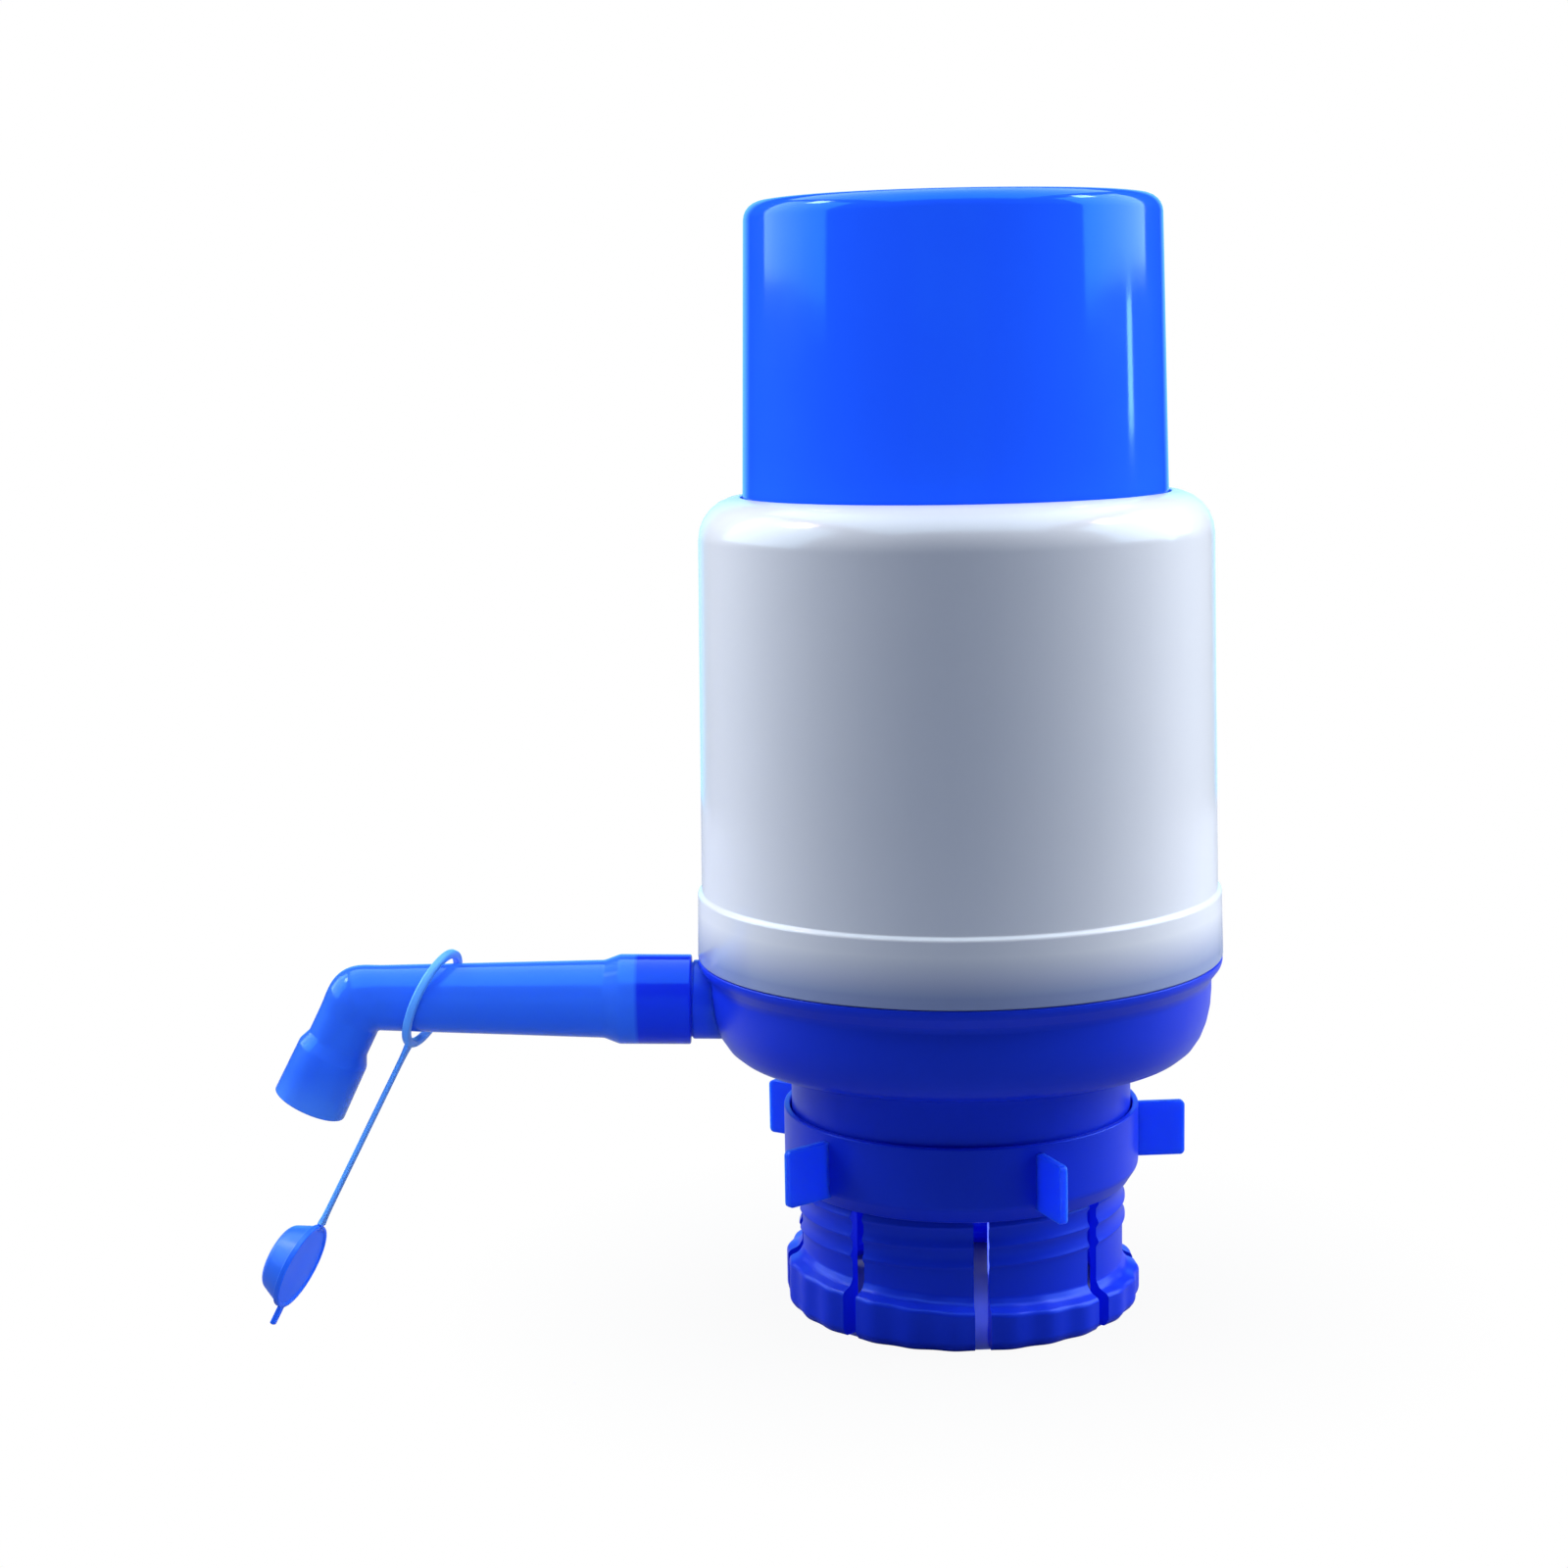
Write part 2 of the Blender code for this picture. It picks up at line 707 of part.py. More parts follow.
def bellows_outline():
    low = clamp_top
    high = bellows_top - bellows_collar_height
    pitch = (high - low) / bellows_folds
    foot_top = bellows_bottom + bellows_foot_height
    outer = [(plate_radius, bellows_bottom), (plate_radius, foot_top), (bellows_root, foot_top)]
    inner = [(bellows_root - bellows_wall, bellows_bottom)]
    for fold in range(bellows_folds):
        base = low + pitch * fold
        outer += [(bellows_root, base), (bellows_radius, base + pitch / 2)]
        inner += [(bellows_root - bellows_wall, base), (bellows_radius - bellows_wall, base + pitch / 2)]
    outer += [(bellows_root, high), (bellows_root, bellows_top)]
    inner += [(bellows_root - bellows_wall, high), (bellows_collar_bore, high + bellows_collar_height / 2)]
    inner += [(bellows_collar_bore, bellows_top)]
    return outer + inner[::-1]


def screwed_ring(name, outline, faces, bottom, top, parent, look):
    """A turned piece with the screws' holes through it."""
    ring = put(name, turned(outline, faces), parent, look)
    low = bottom - cutter_overrun
    high = top + cutter_overrun
    holes = rods(bmesh.new(), screw_places(), screw_radius + seat_gap, low, high)
    boolean(ring, name + "_holes", holes, parent, "DIFFERENCE")


def clamp_screws(parent, look):
    tip = screw_seat - screw_length
    outline = [
        (0, tip),
        (screw_radius / 2, tip),
        (screw_radius, tip + screw_radius),
        (screw_radius, screw_seat),
        (screw_head_radius, screw_seat),
        (screw_head_radius, screw_seat + screw_head_height / 2),
        (screw_head_radius / 2, screw_seat + screw_head_height),
        (0, screw_seat + screw_head_height),
    ]
    for step, (x, y) in enumerate(screw_places()):
        screw = put("clamp_screw_%d" % (step + 1), turned(outline, hole_face_count), parent, look)
        screw.location = (x, y, 0)


def return_spring(parent, look):
    """A round wire wound between the two plates, as one unbroken tube."""
    low = plate_top + seat_gap + spring_wire
    high = head_plate_bottom - seat_gap - spring_wire
    per_curl = 8
    count = spring_curls * per_curl
    path = []
    for step in range(count + 1):
        angle = math.tau * step / per_curl
        height = low + (high - low) * step / count
        path.append(Vector((spring_radius * math.cos(angle), spring_radius * math.sin(angle), height)))
    apart = [(path[step + per_curl] - path[step]).length for step in range(count + 1 - per_curl)]
    print("return_spring: least gap between curls %.2f mm" % ((min(apart) - 2 * spring_wire) / MM))
    curve = bpy.data.curves.new("return_spring", "CURVE")
    curve.dimensions = "3D"
    curve.bevel_depth = spring_wire
    curve.bevel_resolution = 1
    curve.use_fill_caps = True
    line = curve.splines.new("POLY")
    line.points.add(len(path) - 1)
    for point, place in zip(line.points, path):
        point.co = (*place, 1)
    curve.materials.append(look)
    spring = bpy.data.objects.new("return_spring", curve)
    bpy.context.scene.collection.objects.link(spring)
    spring.parent = parent


# Spout


def spout_stations():
    """(centre, direction, outer radius, inner radius) along the spout, out to -X and then down."""
    out = Vector((-1, 0, 0))
    down = Matrix.Rotation(-elbow_bend, 3, "Y") @ out
    socket_bore = nipple_radius + socket_gap
    socket_radius = socket_bore + socket_wall
    start = collar_length + seat_gap
    end = start + socket_length
    shoulder = (socket_radius + tube_radius) / 2
    tube_bore = tube_radius - tube_wall
    stations = [
        (out * start, out, socket_radius, socket_bore),
        (out * end, out, socket_radius, socket_bore),
        (out * (end + socket_shoulder / 2), out, shoulder, tube_bore),
        (out * (end + socket_shoulder), out, tube_radius, tube_bore),
    ]
    corner = out * elbow_distance
    bend_radius = tube_end_radius + elbow_inner_round
    pivot = corner - out * bend_radius * math.tan(elbow_bend / 2) - Vector((0, 0, bend_radius))
    steps = arc_step_count + 2
    for step in range(steps + 1):
        turn = Matrix.Rotation(-elbow_bend * step / steps, 3, "Y")
        bulge = elbow_bulge * math.sin(math.pi * step / steps)
        radius = tube_end_radius + (leg_radius - tube_end_radius) * step / steps + bulge
        place = pivot + turn @ Vector((0, 0, bend_radius + bulge))
        stations.append((place, turn @ out, radius, radius - tube_wall))
    sleeve = sleeve_start + sleeve_shoulder
    leg_bore = leg_radius - tube_wall
    stations += [
        (corner + down * sleeve_start, down, leg_radius, leg_bore),
        (corner + down * sleeve, down, sleeve_radius, leg_bore),
        (corner + down * (sleeve + sleeve_shoulder), down, sleeve_radius, sleeve_radius - mouth_wall),
        (corner + down * mouth_distance, down, mouth_radius, mouth_radius - mouth_wall),
    ]
    return stations


def spout(parent, look):
    """Socket, tapering tube, short elbow and mouth sleeve, skinned outside and back inside."""
    stations = spout_stations()
    loops = [hoop(place, way, outer) for place, way, outer, inner in stations]
    loops += [hoop(place, way, inner) for place, way, outer, inner in reversed(stations)]
    put("spout", skin(loops), parent, look)


# Leash and dust cap


def leash_ring(parent, look):
    half = leash_thickness / 2
    outline = ring_outline(leash_ring_radius, leash_ring_radius - leash_ring_width, -half, half)
    put("leash_ring", lying(turned(outline, small_face_count)), parent, look)


def leash_strap(parent, look):
    """Hangs down from the ring, wider at both ends."""
    thick = strap_thickness / 2
    narrow = strap_width / 2
    wide = narrow + narrow / 2
    neck_bottom = strap_width - strap_length
    levels = [(0, wide), (-strap_width, narrow), (neck_bottom, narrow), (-strap_length, wide)]
    front = [(-thick, half, z) for z, half in levels] + [(-thick, -half, z) for z, half in reversed(levels)]
    mesh = bmesh.new()
    face = mesh.faces.new([mesh.verts.new(corner) for corner in front])
    grown = bmesh.ops.extrude_face_region(mesh, geom=[face])["geom"]
    moved = [item for item in grown if isinstance(item, bmesh.types.BMVert)]
    bmesh.ops.translate(mesh, verts=moved, vec=(strap_thickness, 0, 0))
    bmesh.ops.recalc_face_normals(mesh, faces=mesh.faces)
    put("leash_strap", mesh, parent, look)


def dust_cap(parent, look):
    """A disc with a rim on one side, a hollow plug on the other and a pull tab."""
    thick = strap_thickness / 2
    face = thick - disc_rim_height
    back = face - disc_thickness
    plug_inner = plug_radius - plug_wall
    plug_end = back - plug_length
    outline = [
        (0, face),
        (disc_radius - disc_rim_width, face),
        (disc_radius - disc_rim_width, thick),
        (disc_radius, thick),
        (disc_radius, back),
        (plug_radius, back),
        (plug_radius, plug_end + plug_wall / 2),
        (plug_radius - plug_wall / 2, plug_end),
        (plug_inner, plug_end),
        (plug_inner, back),
        (0, back),
    ]
    mesh = lying(turned(outline, small_face_count))
    middle = -disc_radius - seat_gap
    bmesh.ops.translate(mesh, verts=mesh.verts, vec=(0, 0, middle))
    cap = put("dust_cap", mesh, parent, look)
    side = strap_width / 2
    low = (-thick, -side, middle - disc_radius - tab_length)
    tab = block(bmesh.new(), low, (thick, side, middle - disc_radius + disc_rim_width))
    boolean(cap, "pull_tab", tab, parent, "UNION")


def bounds():
    """The lowest and highest corners of all the pieces."""
    bpy.context.view_layer.update()
    graph = bpy.context.evaluated_depsgraph_get()
    corners = []
    for thing in bpy.data.objects:
        if thing.type in ("MESH", "CURVE") and not thing.hide_render:
            mesh = thing.evaluated_get(graph).to_mesh()
            corners += [thing.matrix_world @ vertex.co for vertex in mesh.vertices]
    return [Vector([pick(corner[axis] for corner in corners) for axis in range(3)]) for pick in (min, max)]


def main():
    empty_scene()
    sky = plastic("press_cap_blue", (0.012, 0.08, 0.85), 0.25)
    white = plastic("casing_white", (0.75, 0.78, 0.83), 0.25)
    royal = plastic("base_blue", (0.01, 0.03, 0.5), 0.3)
    clear_blue = plastic("spout_blue", (0.02, 0.13, 0.85), 0.35)
    light = plastic("leash_blue", (0.06, 0.3, 0.85), 0.4)
    natural = plastic("inner_white", (0.7, 0.7, 0.68), 0.45)
    rubber = plastic("rubber_black", (0.02, 0.02, 0.02), 0.7)
    silicone = plastic("silicone_white", (0.75, 0.75, 0.72), 0.5)
    steel = plastic("spring_steel", (0.6, 0.6, 0.6), 0.3, 1.0)

    root = empty("pump", None, Matrix())
    press = empty("press_axis", root, Matrix())
    turning = empty("clamp_ring_axis", root, Matrix())
    port_place = Matrix.Translation((-bowl_radius, 0, port_height))
    port = empty("port_axis", root, port_place @ Matrix.Rotation(port_rise, 4, "Y"))
    swivel = empty("spout_axis", port, Matrix())
    lean = Matrix.Rotation(leash_lean, 4, "X")
    slant = lean @ Matrix.Rotation(leash_tilt, 4, "Y") @ Matrix.Rotation(leash_yaw, 4, "Z")
    sliding = empty("leash_axis", swivel, Matrix.Translation((-leash_distance, 0, 0)) @ slant)
    eye = empty("strap_axis", sliding, Matrix.Translation((0, 0, -leash_ring_radius - seat_gap)))
    cap_bend = empty("dust_cap_axis", eye, Matrix.Translation((0, 0, -strap_length)))

    press_cap(press, sky)
    casing(root, white)
    pump_base(root, port, royal)
    collet(root, royal)
    clamp_ring(turning, royal)
    gasket_top = collet_top - seat_gap
    gasket_radius = collet_bore - seat_gap
    gasket_bore = gasket_radius - gasket_width
    gasket = ring_outline(gasket_radius, gasket_bore, gasket_top - gasket_thickness, gasket_top)
    put("jug_gasket", turned(gasket), root, silicone)
    dip_tube_nipple(root, natural)
    riser_elbow(root, port, natural)
    plate("valve_plate", plate_radius, plate_bottom, plate_top, root, natural, screw_places())
    umbrella_valve("outlet_valve", plate_bottom, plate_top, root, rubber)
    folds = bellows_outline()
    screwed_ring("bellows", folds, bellows_face_count, bellows_bottom, clamp_bottom, root, rubber)
    clamp = ring_outline(plate_radius, clamp_bore, clamp_bottom, clamp_top)
    screwed_ring("bellows_clamp", clamp, shell_face_count, clamp_bottom, clamp_top, root, natural)
    clamp_screws(root, steel)
    return_spring(root, steel)
    plate("head_plate", head_plate_radius, head_plate_bottom, head_plate_top, press, natural, [])
    umbrella_valve("inlet_valve", head_plate_bottom, head_plate_top, press, rubber)
    spout(swivel, clear_blue)
    leash_ring(sliding, light)
    leash_strap(eye, light)
    dust_cap(cap_bend, light)

    low, high = bounds()
    root.location = (-(low.x + high.x) / 2, -(low.y + high.y) / 2, -low.z)
    bpy.context.view_layer.update()
    for moving in (press, turning, swivel, sliding, eye, cap_bend):
        print(moving.name, [round(value, 5) for value in moving.matrix_world.translation])


main()
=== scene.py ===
# %% [markdown]
# # Hand pump for a water jug
# A press cap slides in a white casing and squeezes a bellows. Air goes down into the jug, and
# water comes back up and out of the bent spout. The pump stands on the collet that grips the jug's
# neck. The frame brings the solids of the mechanism, in metres. Each piece made here is a finer
# shell that stands for one of those solids, so the first cell loads them and keeps them, and their
# boxes give many of the pieces' sizes.

# %% Load the frame
import json
import math

import bmesh
import bpy
from mathutils import Matrix, Vector


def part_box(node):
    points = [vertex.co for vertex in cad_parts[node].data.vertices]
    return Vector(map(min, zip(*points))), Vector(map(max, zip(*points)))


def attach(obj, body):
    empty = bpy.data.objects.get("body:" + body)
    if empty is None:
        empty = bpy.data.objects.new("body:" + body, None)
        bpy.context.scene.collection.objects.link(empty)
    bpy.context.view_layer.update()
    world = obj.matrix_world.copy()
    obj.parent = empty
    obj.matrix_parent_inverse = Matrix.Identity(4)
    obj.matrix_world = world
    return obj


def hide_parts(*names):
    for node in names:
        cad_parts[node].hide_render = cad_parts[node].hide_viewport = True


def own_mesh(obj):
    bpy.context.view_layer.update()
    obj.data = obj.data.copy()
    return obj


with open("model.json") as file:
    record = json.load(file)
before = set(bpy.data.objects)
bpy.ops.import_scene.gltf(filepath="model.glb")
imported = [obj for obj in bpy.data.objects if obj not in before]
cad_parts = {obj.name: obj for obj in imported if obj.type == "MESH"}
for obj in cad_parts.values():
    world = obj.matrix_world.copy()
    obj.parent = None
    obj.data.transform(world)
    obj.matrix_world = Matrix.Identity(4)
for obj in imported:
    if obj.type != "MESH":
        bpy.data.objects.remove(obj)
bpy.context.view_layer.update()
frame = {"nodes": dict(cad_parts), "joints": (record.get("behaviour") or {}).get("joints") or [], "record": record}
MM = 0.001
print("solids:", sorted(frame["nodes"]))

# %% [markdown]
# Nearly all of the pump is turned about one upright axis, so its pieces are modelled about Z in
# millimetres and moved there together. The axis is the middle of the casing's box, which the frame
# knows.

# %% The pump's axis
casing_low, casing_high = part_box("casing")
pump_x = (casing_low.x + casing_high.x) / 2
on_pump = Matrix.Translation((pump_x, 0, 0)) @ Matrix.Scale(MM, 4)
print("pump axis at x = %.2f mm" % (pump_x / MM))

# %% [markdown]
# A turned piece starts as a wire outline in the XZ plane: a few corners, each with its own
# rounding, which a vertex bevel makes. Spinning the wire gives the shell. A mesh of a few hundred
# typed points would give the same, but here a corner's radius can be changed without moving its
# neighbours. A fourth number stretches the rounding in height, for the bowl's deep elliptical
# side.

# %% Turned pieces
round_steps = 6
turn_steps = 144
fine_steps = 96
same_place = 0.001


def wire(corners, closed=True):
    """A wire outline from corners (radius, height, rounding, height of the rounding), in mm."""
    mesh = bmesh.new()
    points = [mesh.verts.new((corner[0], 0, corner[1])) for corner in corners]
    pairs = list(zip(points, points[1:])) + ([(points[-1], points[0])] if closed else [])
    for pair in pairs:
        mesh.edges.new(pair)
    for point, corner in zip(points, corners):
        if len(corner) < 3:
            continue
        tip = point.co.copy()
        new = bmesh.ops.bevel(mesh, geom=[point], offset=corner[2], offset_type="OFFSET",
                              affect="VERTICES", segments=round_steps, profile=0.5,
                              material=-1)["verts"]
        if len(corner) > 3:
            bmesh.ops.scale(mesh, verts=new, vec=(1, 1, corner[3] / corner[2]),
                            space=Matrix.Translation(-tip))
    return mesh


def spun(mesh, steps=turn_steps, angle=math.tau):
    """Spins a wire or a face about Z and closes the seam."""
    bmesh.ops.spin(mesh, geom=mesh.verts[:] + mesh.edges[:] + mesh.faces[:], cent=(0, 0, 0),
                   axis=(0, 0, 1), angle=angle, steps=steps, use_merge=angle == math.tau,
                   use_duplicate=False)
    bmesh.ops.remove_doubles(mesh, verts=mesh.verts, dist=same_place)
    bmesh.ops.recalc_face_normals(mesh, faces=mesh.faces)
    return mesh


def joined(*meshes):
    """Puts several bmeshes into the first one."""
    for other in meshes[1:]:
        spare = bpy.data.meshes.new("spare")
        other.to_mesh(spare)
        other.free()
        meshes[0].from_mesh(spare)
        bpy.data.meshes.remove(spare)
    return meshes[0]


# %% [markdown]
# A finished piece stands at the origin with its place in its mesh, rides on a body of the
# mechanism and stands for one or more of the solids. Edges sharper than 35 degrees stay sharp, and
# weighted normals keep the long walls evenly lit beside their small roundings.

# %% Finished pieces
crease = math.radians(35)
made_pieces = {}


def piece(name, mesh, place, body, look, slot, *nodes):
    """Turns a bmesh into an object of the scene that moves with a body."""
    data = bpy.data.meshes.new(name)
    mesh.to_mesh(data)
    mesh.free()
    data.transform(place)
    data.shade_smooth()
    data.set_sharp_from_angle(angle=crease)
    data.materials.append(look)
    thing = bpy.data.objects.new(name, data)
    bpy.context.scene.collection.objects.link(thing)
    even = thing.modifiers.new("even_shading", "WEIGHTED_NORMAL")
    even.keep_sharp = True
    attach(thing, body)
    if nodes:
        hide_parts(*nodes)
    made_pieces[name] = thing
    print("%s: %d faces, on %s" % (name, len(data.polygons), body))
    return thing


# %% [markdown]
# Materials are built from nodes. One small function adds a node, sets it and links it. Colours are
# written as sRGB hex, as a colour picker shows them, and turned to the linear values that light
# needs.

# %% Node and colour helpers
def colour(text):
    """An sRGB hex colour as linear red, green, blue and alpha."""
    parts = [int(text[step:step + 2], 16) / 255 for step in (0, 2, 4)]
    return (*[part / 12.92 if part <= 0.04045 else ((part + 0.055) / 1.055) ** 2.4
              for part in parts], 1.0)


def add(tree, kind, inputs=None, **settings):
    """Adds a node. An input is a value to set or an output socket to link from."""
    made = tree.nodes.new(kind)
    for name, value in settings.items():
        setattr(made, name, value)
    for key, value in (inputs or {}).items():
        if isinstance(value, bpy.types.NodeSocket):
            tree.links.new(value, made.inputs[key])
        else:
            made.inputs[key].default_value = value
    return made


# %% [markdown]
# Every plastic here is injection moulded: molten plastic is pressed into a polished steel mould.
# Its skin is smooth but never perfect. A faint waviness a few millimetres wide comes from
# shrinking, the gloss varies a little in patches, and the colour drifts where the flow fronts met.
# This one function builds that skin, and each material then says what its plastic adds. The three
# noise patterns read Object coordinates, which are metres here, so a scale is one over the
# pattern's real size.
#
# The roughness runs between two limits. Both have to lie on the same side of 0.27: from about
# there the denoiser takes a surface for a matt one, and patches that cross it print as blotches.

# %% A moulded skin
drift_mm = 28
patch_mm = 9
noise_low = 0.3
noise_high = 0.7


def moulded(name, main, drift, gloss_low, gloss_high, wave_mm, wave_depth_mm):
    """A plastic that drifts between two colours, with its range of roughness and its waviness."""
    look = bpy.data.materials.new(name)
    look.use_nodes = True
    tree = look.node_tree
    shader = tree.nodes["Principled BSDF"]
    place = add(tree, "ShaderNodeTexCoord").outputs["Object"]
    flow = add(tree, "ShaderNodeTexNoise", {"Vector": place, "Scale": 1 / (drift_mm * MM),
                                            "Detail": 3.0})
    blend = add(tree, "ShaderNodeMix", {0: flow.outputs["Fac"], 6: colour(main), 7: colour(drift)},
                data_type="RGBA")
    patch = add(tree, "ShaderNodeTexNoise", {"Vector": place, "Scale": 1 / (patch_mm * MM),
                                             "Detail": 4.0})
    gloss = add(tree, "ShaderNodeMapRange", {
        "Value": patch.outputs["Fac"], "From Min": noise_low, "From Max": noise_high,
        "To Min": gloss_low, "To Max": gloss_high})
    wave = add(tree, "ShaderNodeTexNoise", {"Vector": place, "Scale": 1 / (wave_mm * MM),
                                            "Detail": 1.0})
    skin = add(tree, "ShaderNodeBump", {"Height": wave.outputs["Fac"], "Strength": 1.0,
                                        "Distance": wave_depth_mm * MM})
    tree.links.new(blend.outputs[2], shader.inputs["Base Color"])
    tree.links.new(gloss.outputs["Result"], shader.inputs["Roughness"])
    tree.links.new(skin.outputs["Normal"], shader.inputs["Normal"])
    print(name, "roughness", gloss_low, "to", gloss_high)
    return look, shader


# %% [markdown]
# The press cap is glossy ABS with a strong blue pigment. ABS takes a high polish, so roughness is
# low. Its index of refraction is 1.53. The tint makes the gloss cyan, as the light of the studio
# is.

# %% Blue ABS
cap_abs, shader = moulded("moulded_abs_bright_blue", "2060fa", "2466fb", 0.07, 0.11, 5.0, 0.006)
shader.inputs["IOR"].default_value = 1.53
shader.inputs["Specular Tint"].default_value = colour("50e0ff")

# %% [markdown]
# The casing is the same plastic in a cool white. Light passes its wall a little. The lower half
# of the band gets painted shade: a bluish grey is mixed into the white by height, in place of the
# blue spigot behind the wall, because scattering through two pieces would take many samples.

# %% White ABS
# Heights over which the painted shade of the band fades in
painted_shade_starts = casing_low.z + 9 * MM
painted_shade_deepest = casing_low.z + 2 * MM
painted_shade_share = 0.9
casing_abs, shader = moulded("moulded_abs_white", "e6edf7", "ebf0f8", 0.12, 0.17, 6.0, 0.008)
shader.inputs["IOR"].default_value = 1.53
tree = casing_abs.node_tree
white_plastic = shader.inputs["Base Color"].links[0].from_socket
spot = add(tree, "ShaderNodeSeparateXYZ", {0: add(tree, "ShaderNodeTexCoord").outputs["Object"]})
painted_band_shade = add(tree, "ShaderNodeMapRange", {
    "Value": spot.outputs["Z"], "From Min": painted_shade_starts, "From Max": painted_shade_deepest,
    "To Max": painted_shade_share})
# Painted shade: bluish grey mixed into the lower band by height
with_painted_shade = add(tree, "ShaderNodeMix", {0: painted_band_shade.outputs["Result"], 6: white_plastic,
                                    7: colour("8094c6")}, data_type="RGBA")
tree.links.new(with_painted_shade.outputs[2], shader.inputs["Base Color"])

# %% [markdown]
# Base, collet and clamp ring are polypropylene: tougher and springy, so the claws can bend. It is
# less glossy than ABS, and thick enough here to look opaque.

# %% Royal blue PP
base_pp, shader = moulded("moulded_pp_royal_blue", "1534e6", "1738e8", 0.29, 0.33, 14.0, 0.03)
shader.inputs["IOR"].default_value = 1.49
shader.inputs["Specular Tint"].default_value = colour("7fb8ff")
shader.inputs["Specular IOR Level"].default_value = 0.42

# %% [markdown]
# The ring's wings and the port are the same plastic, but so thin that light from behind them
# passes through. Their version has a brighter base colour, a painted glow that stands for that
# light, and its subsurface scattering carries light through several millimetres, blue the furthest.

# %% Thin royal blue PP, with painted glow
# Brighter base colour: painted glow of the light through thin walls
glow_painted_pp, shader = moulded("moulded_pp_royal_blue_painted_glow", "1f48f4", "224df6", 0.29, 0.33, 14.0, 0.03)
shader.inputs["IOR"].default_value = 1.49
shader.inputs["Specular Tint"].default_value = colour("7fb8ff")
shader.inputs["Subsurface Weight"].default_value = 1.0
shader.inputs["Subsurface Radius"].default_value = (0.3, 0.5, 1.0)
shader.inputs["Subsurface Scale"].default_value = 9 * MM

# %% [markdown]
# The spout is a clearer polypropylene. Light passes its wall, so part of the shader transmits. Two
# effects of that light are painted into its colour by place, which is cheaper and cleaner than real
# glass round them: painted shade darkens the socket up to the nipple's end, where the port's nipple
# is behind the wall, and a painted glow makes the hollow mouth paler.

# %% Clear blue PP
nipple_end_x = -19.2
nipple_blur = 0.4
mouth_starts_z = 46
mouth_pale_z = 36
spout_pp, shader = moulded("moulded_pp_clear_blue", "387cff", "4084ff", 0.1, 0.15, 3.5, 0.008)
shader.inputs["IOR"].default_value = 1.49
shader.inputs["Specular Tint"].default_value = colour("62d2ff")
shader.inputs["Transmission Weight"].default_value = 0.28
tree = spout_pp.node_tree
clear_plastic = shader.inputs["Base Color"].links[0].from_socket
spot = add(tree, "ShaderNodeSeparateXYZ", {0: add(tree, "ShaderNodeTexCoord").outputs["Object"]})
# Painted shade over the socket, up to the nipple's end
painted_nipple_shade = add(tree, "ShaderNodeMapRange", {
    "Value": spot.outputs["X"], "From Min": (nipple_end_x - nipple_blur) * MM,
    "From Max": (nipple_end_x + nipple_blur) * MM})
with_painted_shade = add(tree, "ShaderNodeMix", {0: painted_nipple_shade.outputs["Result"], 6: clear_plastic,
                                    7: colour("1c3ef0")}, data_type="RGBA")
# Painted glow, paler towards the mouth
painted_mouth_glow = add(tree, "ShaderNodeMapRange", {
    "Value": spot.outputs["Z"], "From Min": mouth_starts_z * MM, "From Max": mouth_pale_z * MM})
with_painted_glow = add(tree, "ShaderNodeMix", {0: painted_mouth_glow.outputs["Result"], 6: with_painted_shade.outputs[2],
                                    7: colour("60a4ff")}, data_type="RGBA")
tree.links.new(with_painted_glow.outputs[2], shader.inputs["Base Color"])

# %% [markdown]
# The leash is low-density polyethylene, soft and waxy, with a dull skin. The dust cap is thick
# enough to scatter light inside. The ring and the strap are so thin that light passes through them,
# and their material has a lighter base colour all over, a painted glow that stands for that light.

# %% Light blue LDPE
leash_ldpe, shader = moulded("moulded_ldpe_light_blue", "2a6cf8", "3073fa", 0.3, 0.4, 4.0, 0.01)
shader.inputs["IOR"].default_value = 1.51
shader.inputs["Specular Tint"].default_value = colour("a8dcff")
shader.inputs["Subsurface Weight"].default_value = 0.15
shader.inputs["Subsurface Radius"].default_value = (0.4, 0.7, 1.0)
shader.inputs["Subsurface Scale"].default_value = 1.5 * MM
# Lighter base colour: painted glow of the light through the thin ring and strap
glow_painted_ldpe, shader = moulded("moulded_ldpe_light_blue_painted_glow", "5cabfc", "66b4fd", 0.3, 0.4, 4.0, 0.01)
shader.inputs["IOR"].default_value = 1.51
shader.inputs["Specular Tint"].default_value = colour("a8dcff")

# %% [markdown]
# Inside are an uncoloured polypropylene for the plates and the water way, black rubber for the
# bellows and its valves, white silicone for the gasket, and steel wire, the only metal. Wire is
# drawn and not moulded, but its skin is also nearly smooth, so the same function serves with a finer
# waviness.

# %% Inner materials
inner_pp, shader = moulded("moulded_pp_natural", "e6e3da", "dedbd0", 0.38, 0.5, 2.5, 0.014)
shader.inputs["IOR"].default_value = 1.49
rubber, shader = moulded("moulded_rubber_black", "1b1b1d", "232325", 0.55, 0.72, 1.2, 0.02)
shader.inputs["IOR"].default_value = 1.52
silicone, shader = moulded("moulded_silicone_white", "e8e7e2", "dfded8", 0.4, 0.52, 1.6, 0.012)
shader.inputs["IOR"].default_value = 1.41
wire_steel, shader = moulded("drawn_steel_wire", "b9bcc0", "a9adb2", 0.2, 0.26, 0.8, 0.004)
shader.inputs["Metallic"].default_value = 1.0
inner_looks = {"inner_white": inner_pp, "rubber_black": rubber, "silicone_white": silicone,
               "spring_steel": wire_steel}

# %% [markdown]
# The press cap is a deep cup that slides through the casing's opening. Its side leans in by 1.3
# degrees, the draft that lets it leave the mould. A flange inside the casing stops it, and a low
# round rib under its top is the seat of the head plate. The outline runs from the top's middle, down
# the outside and back up inside, so it stays open at the axis.

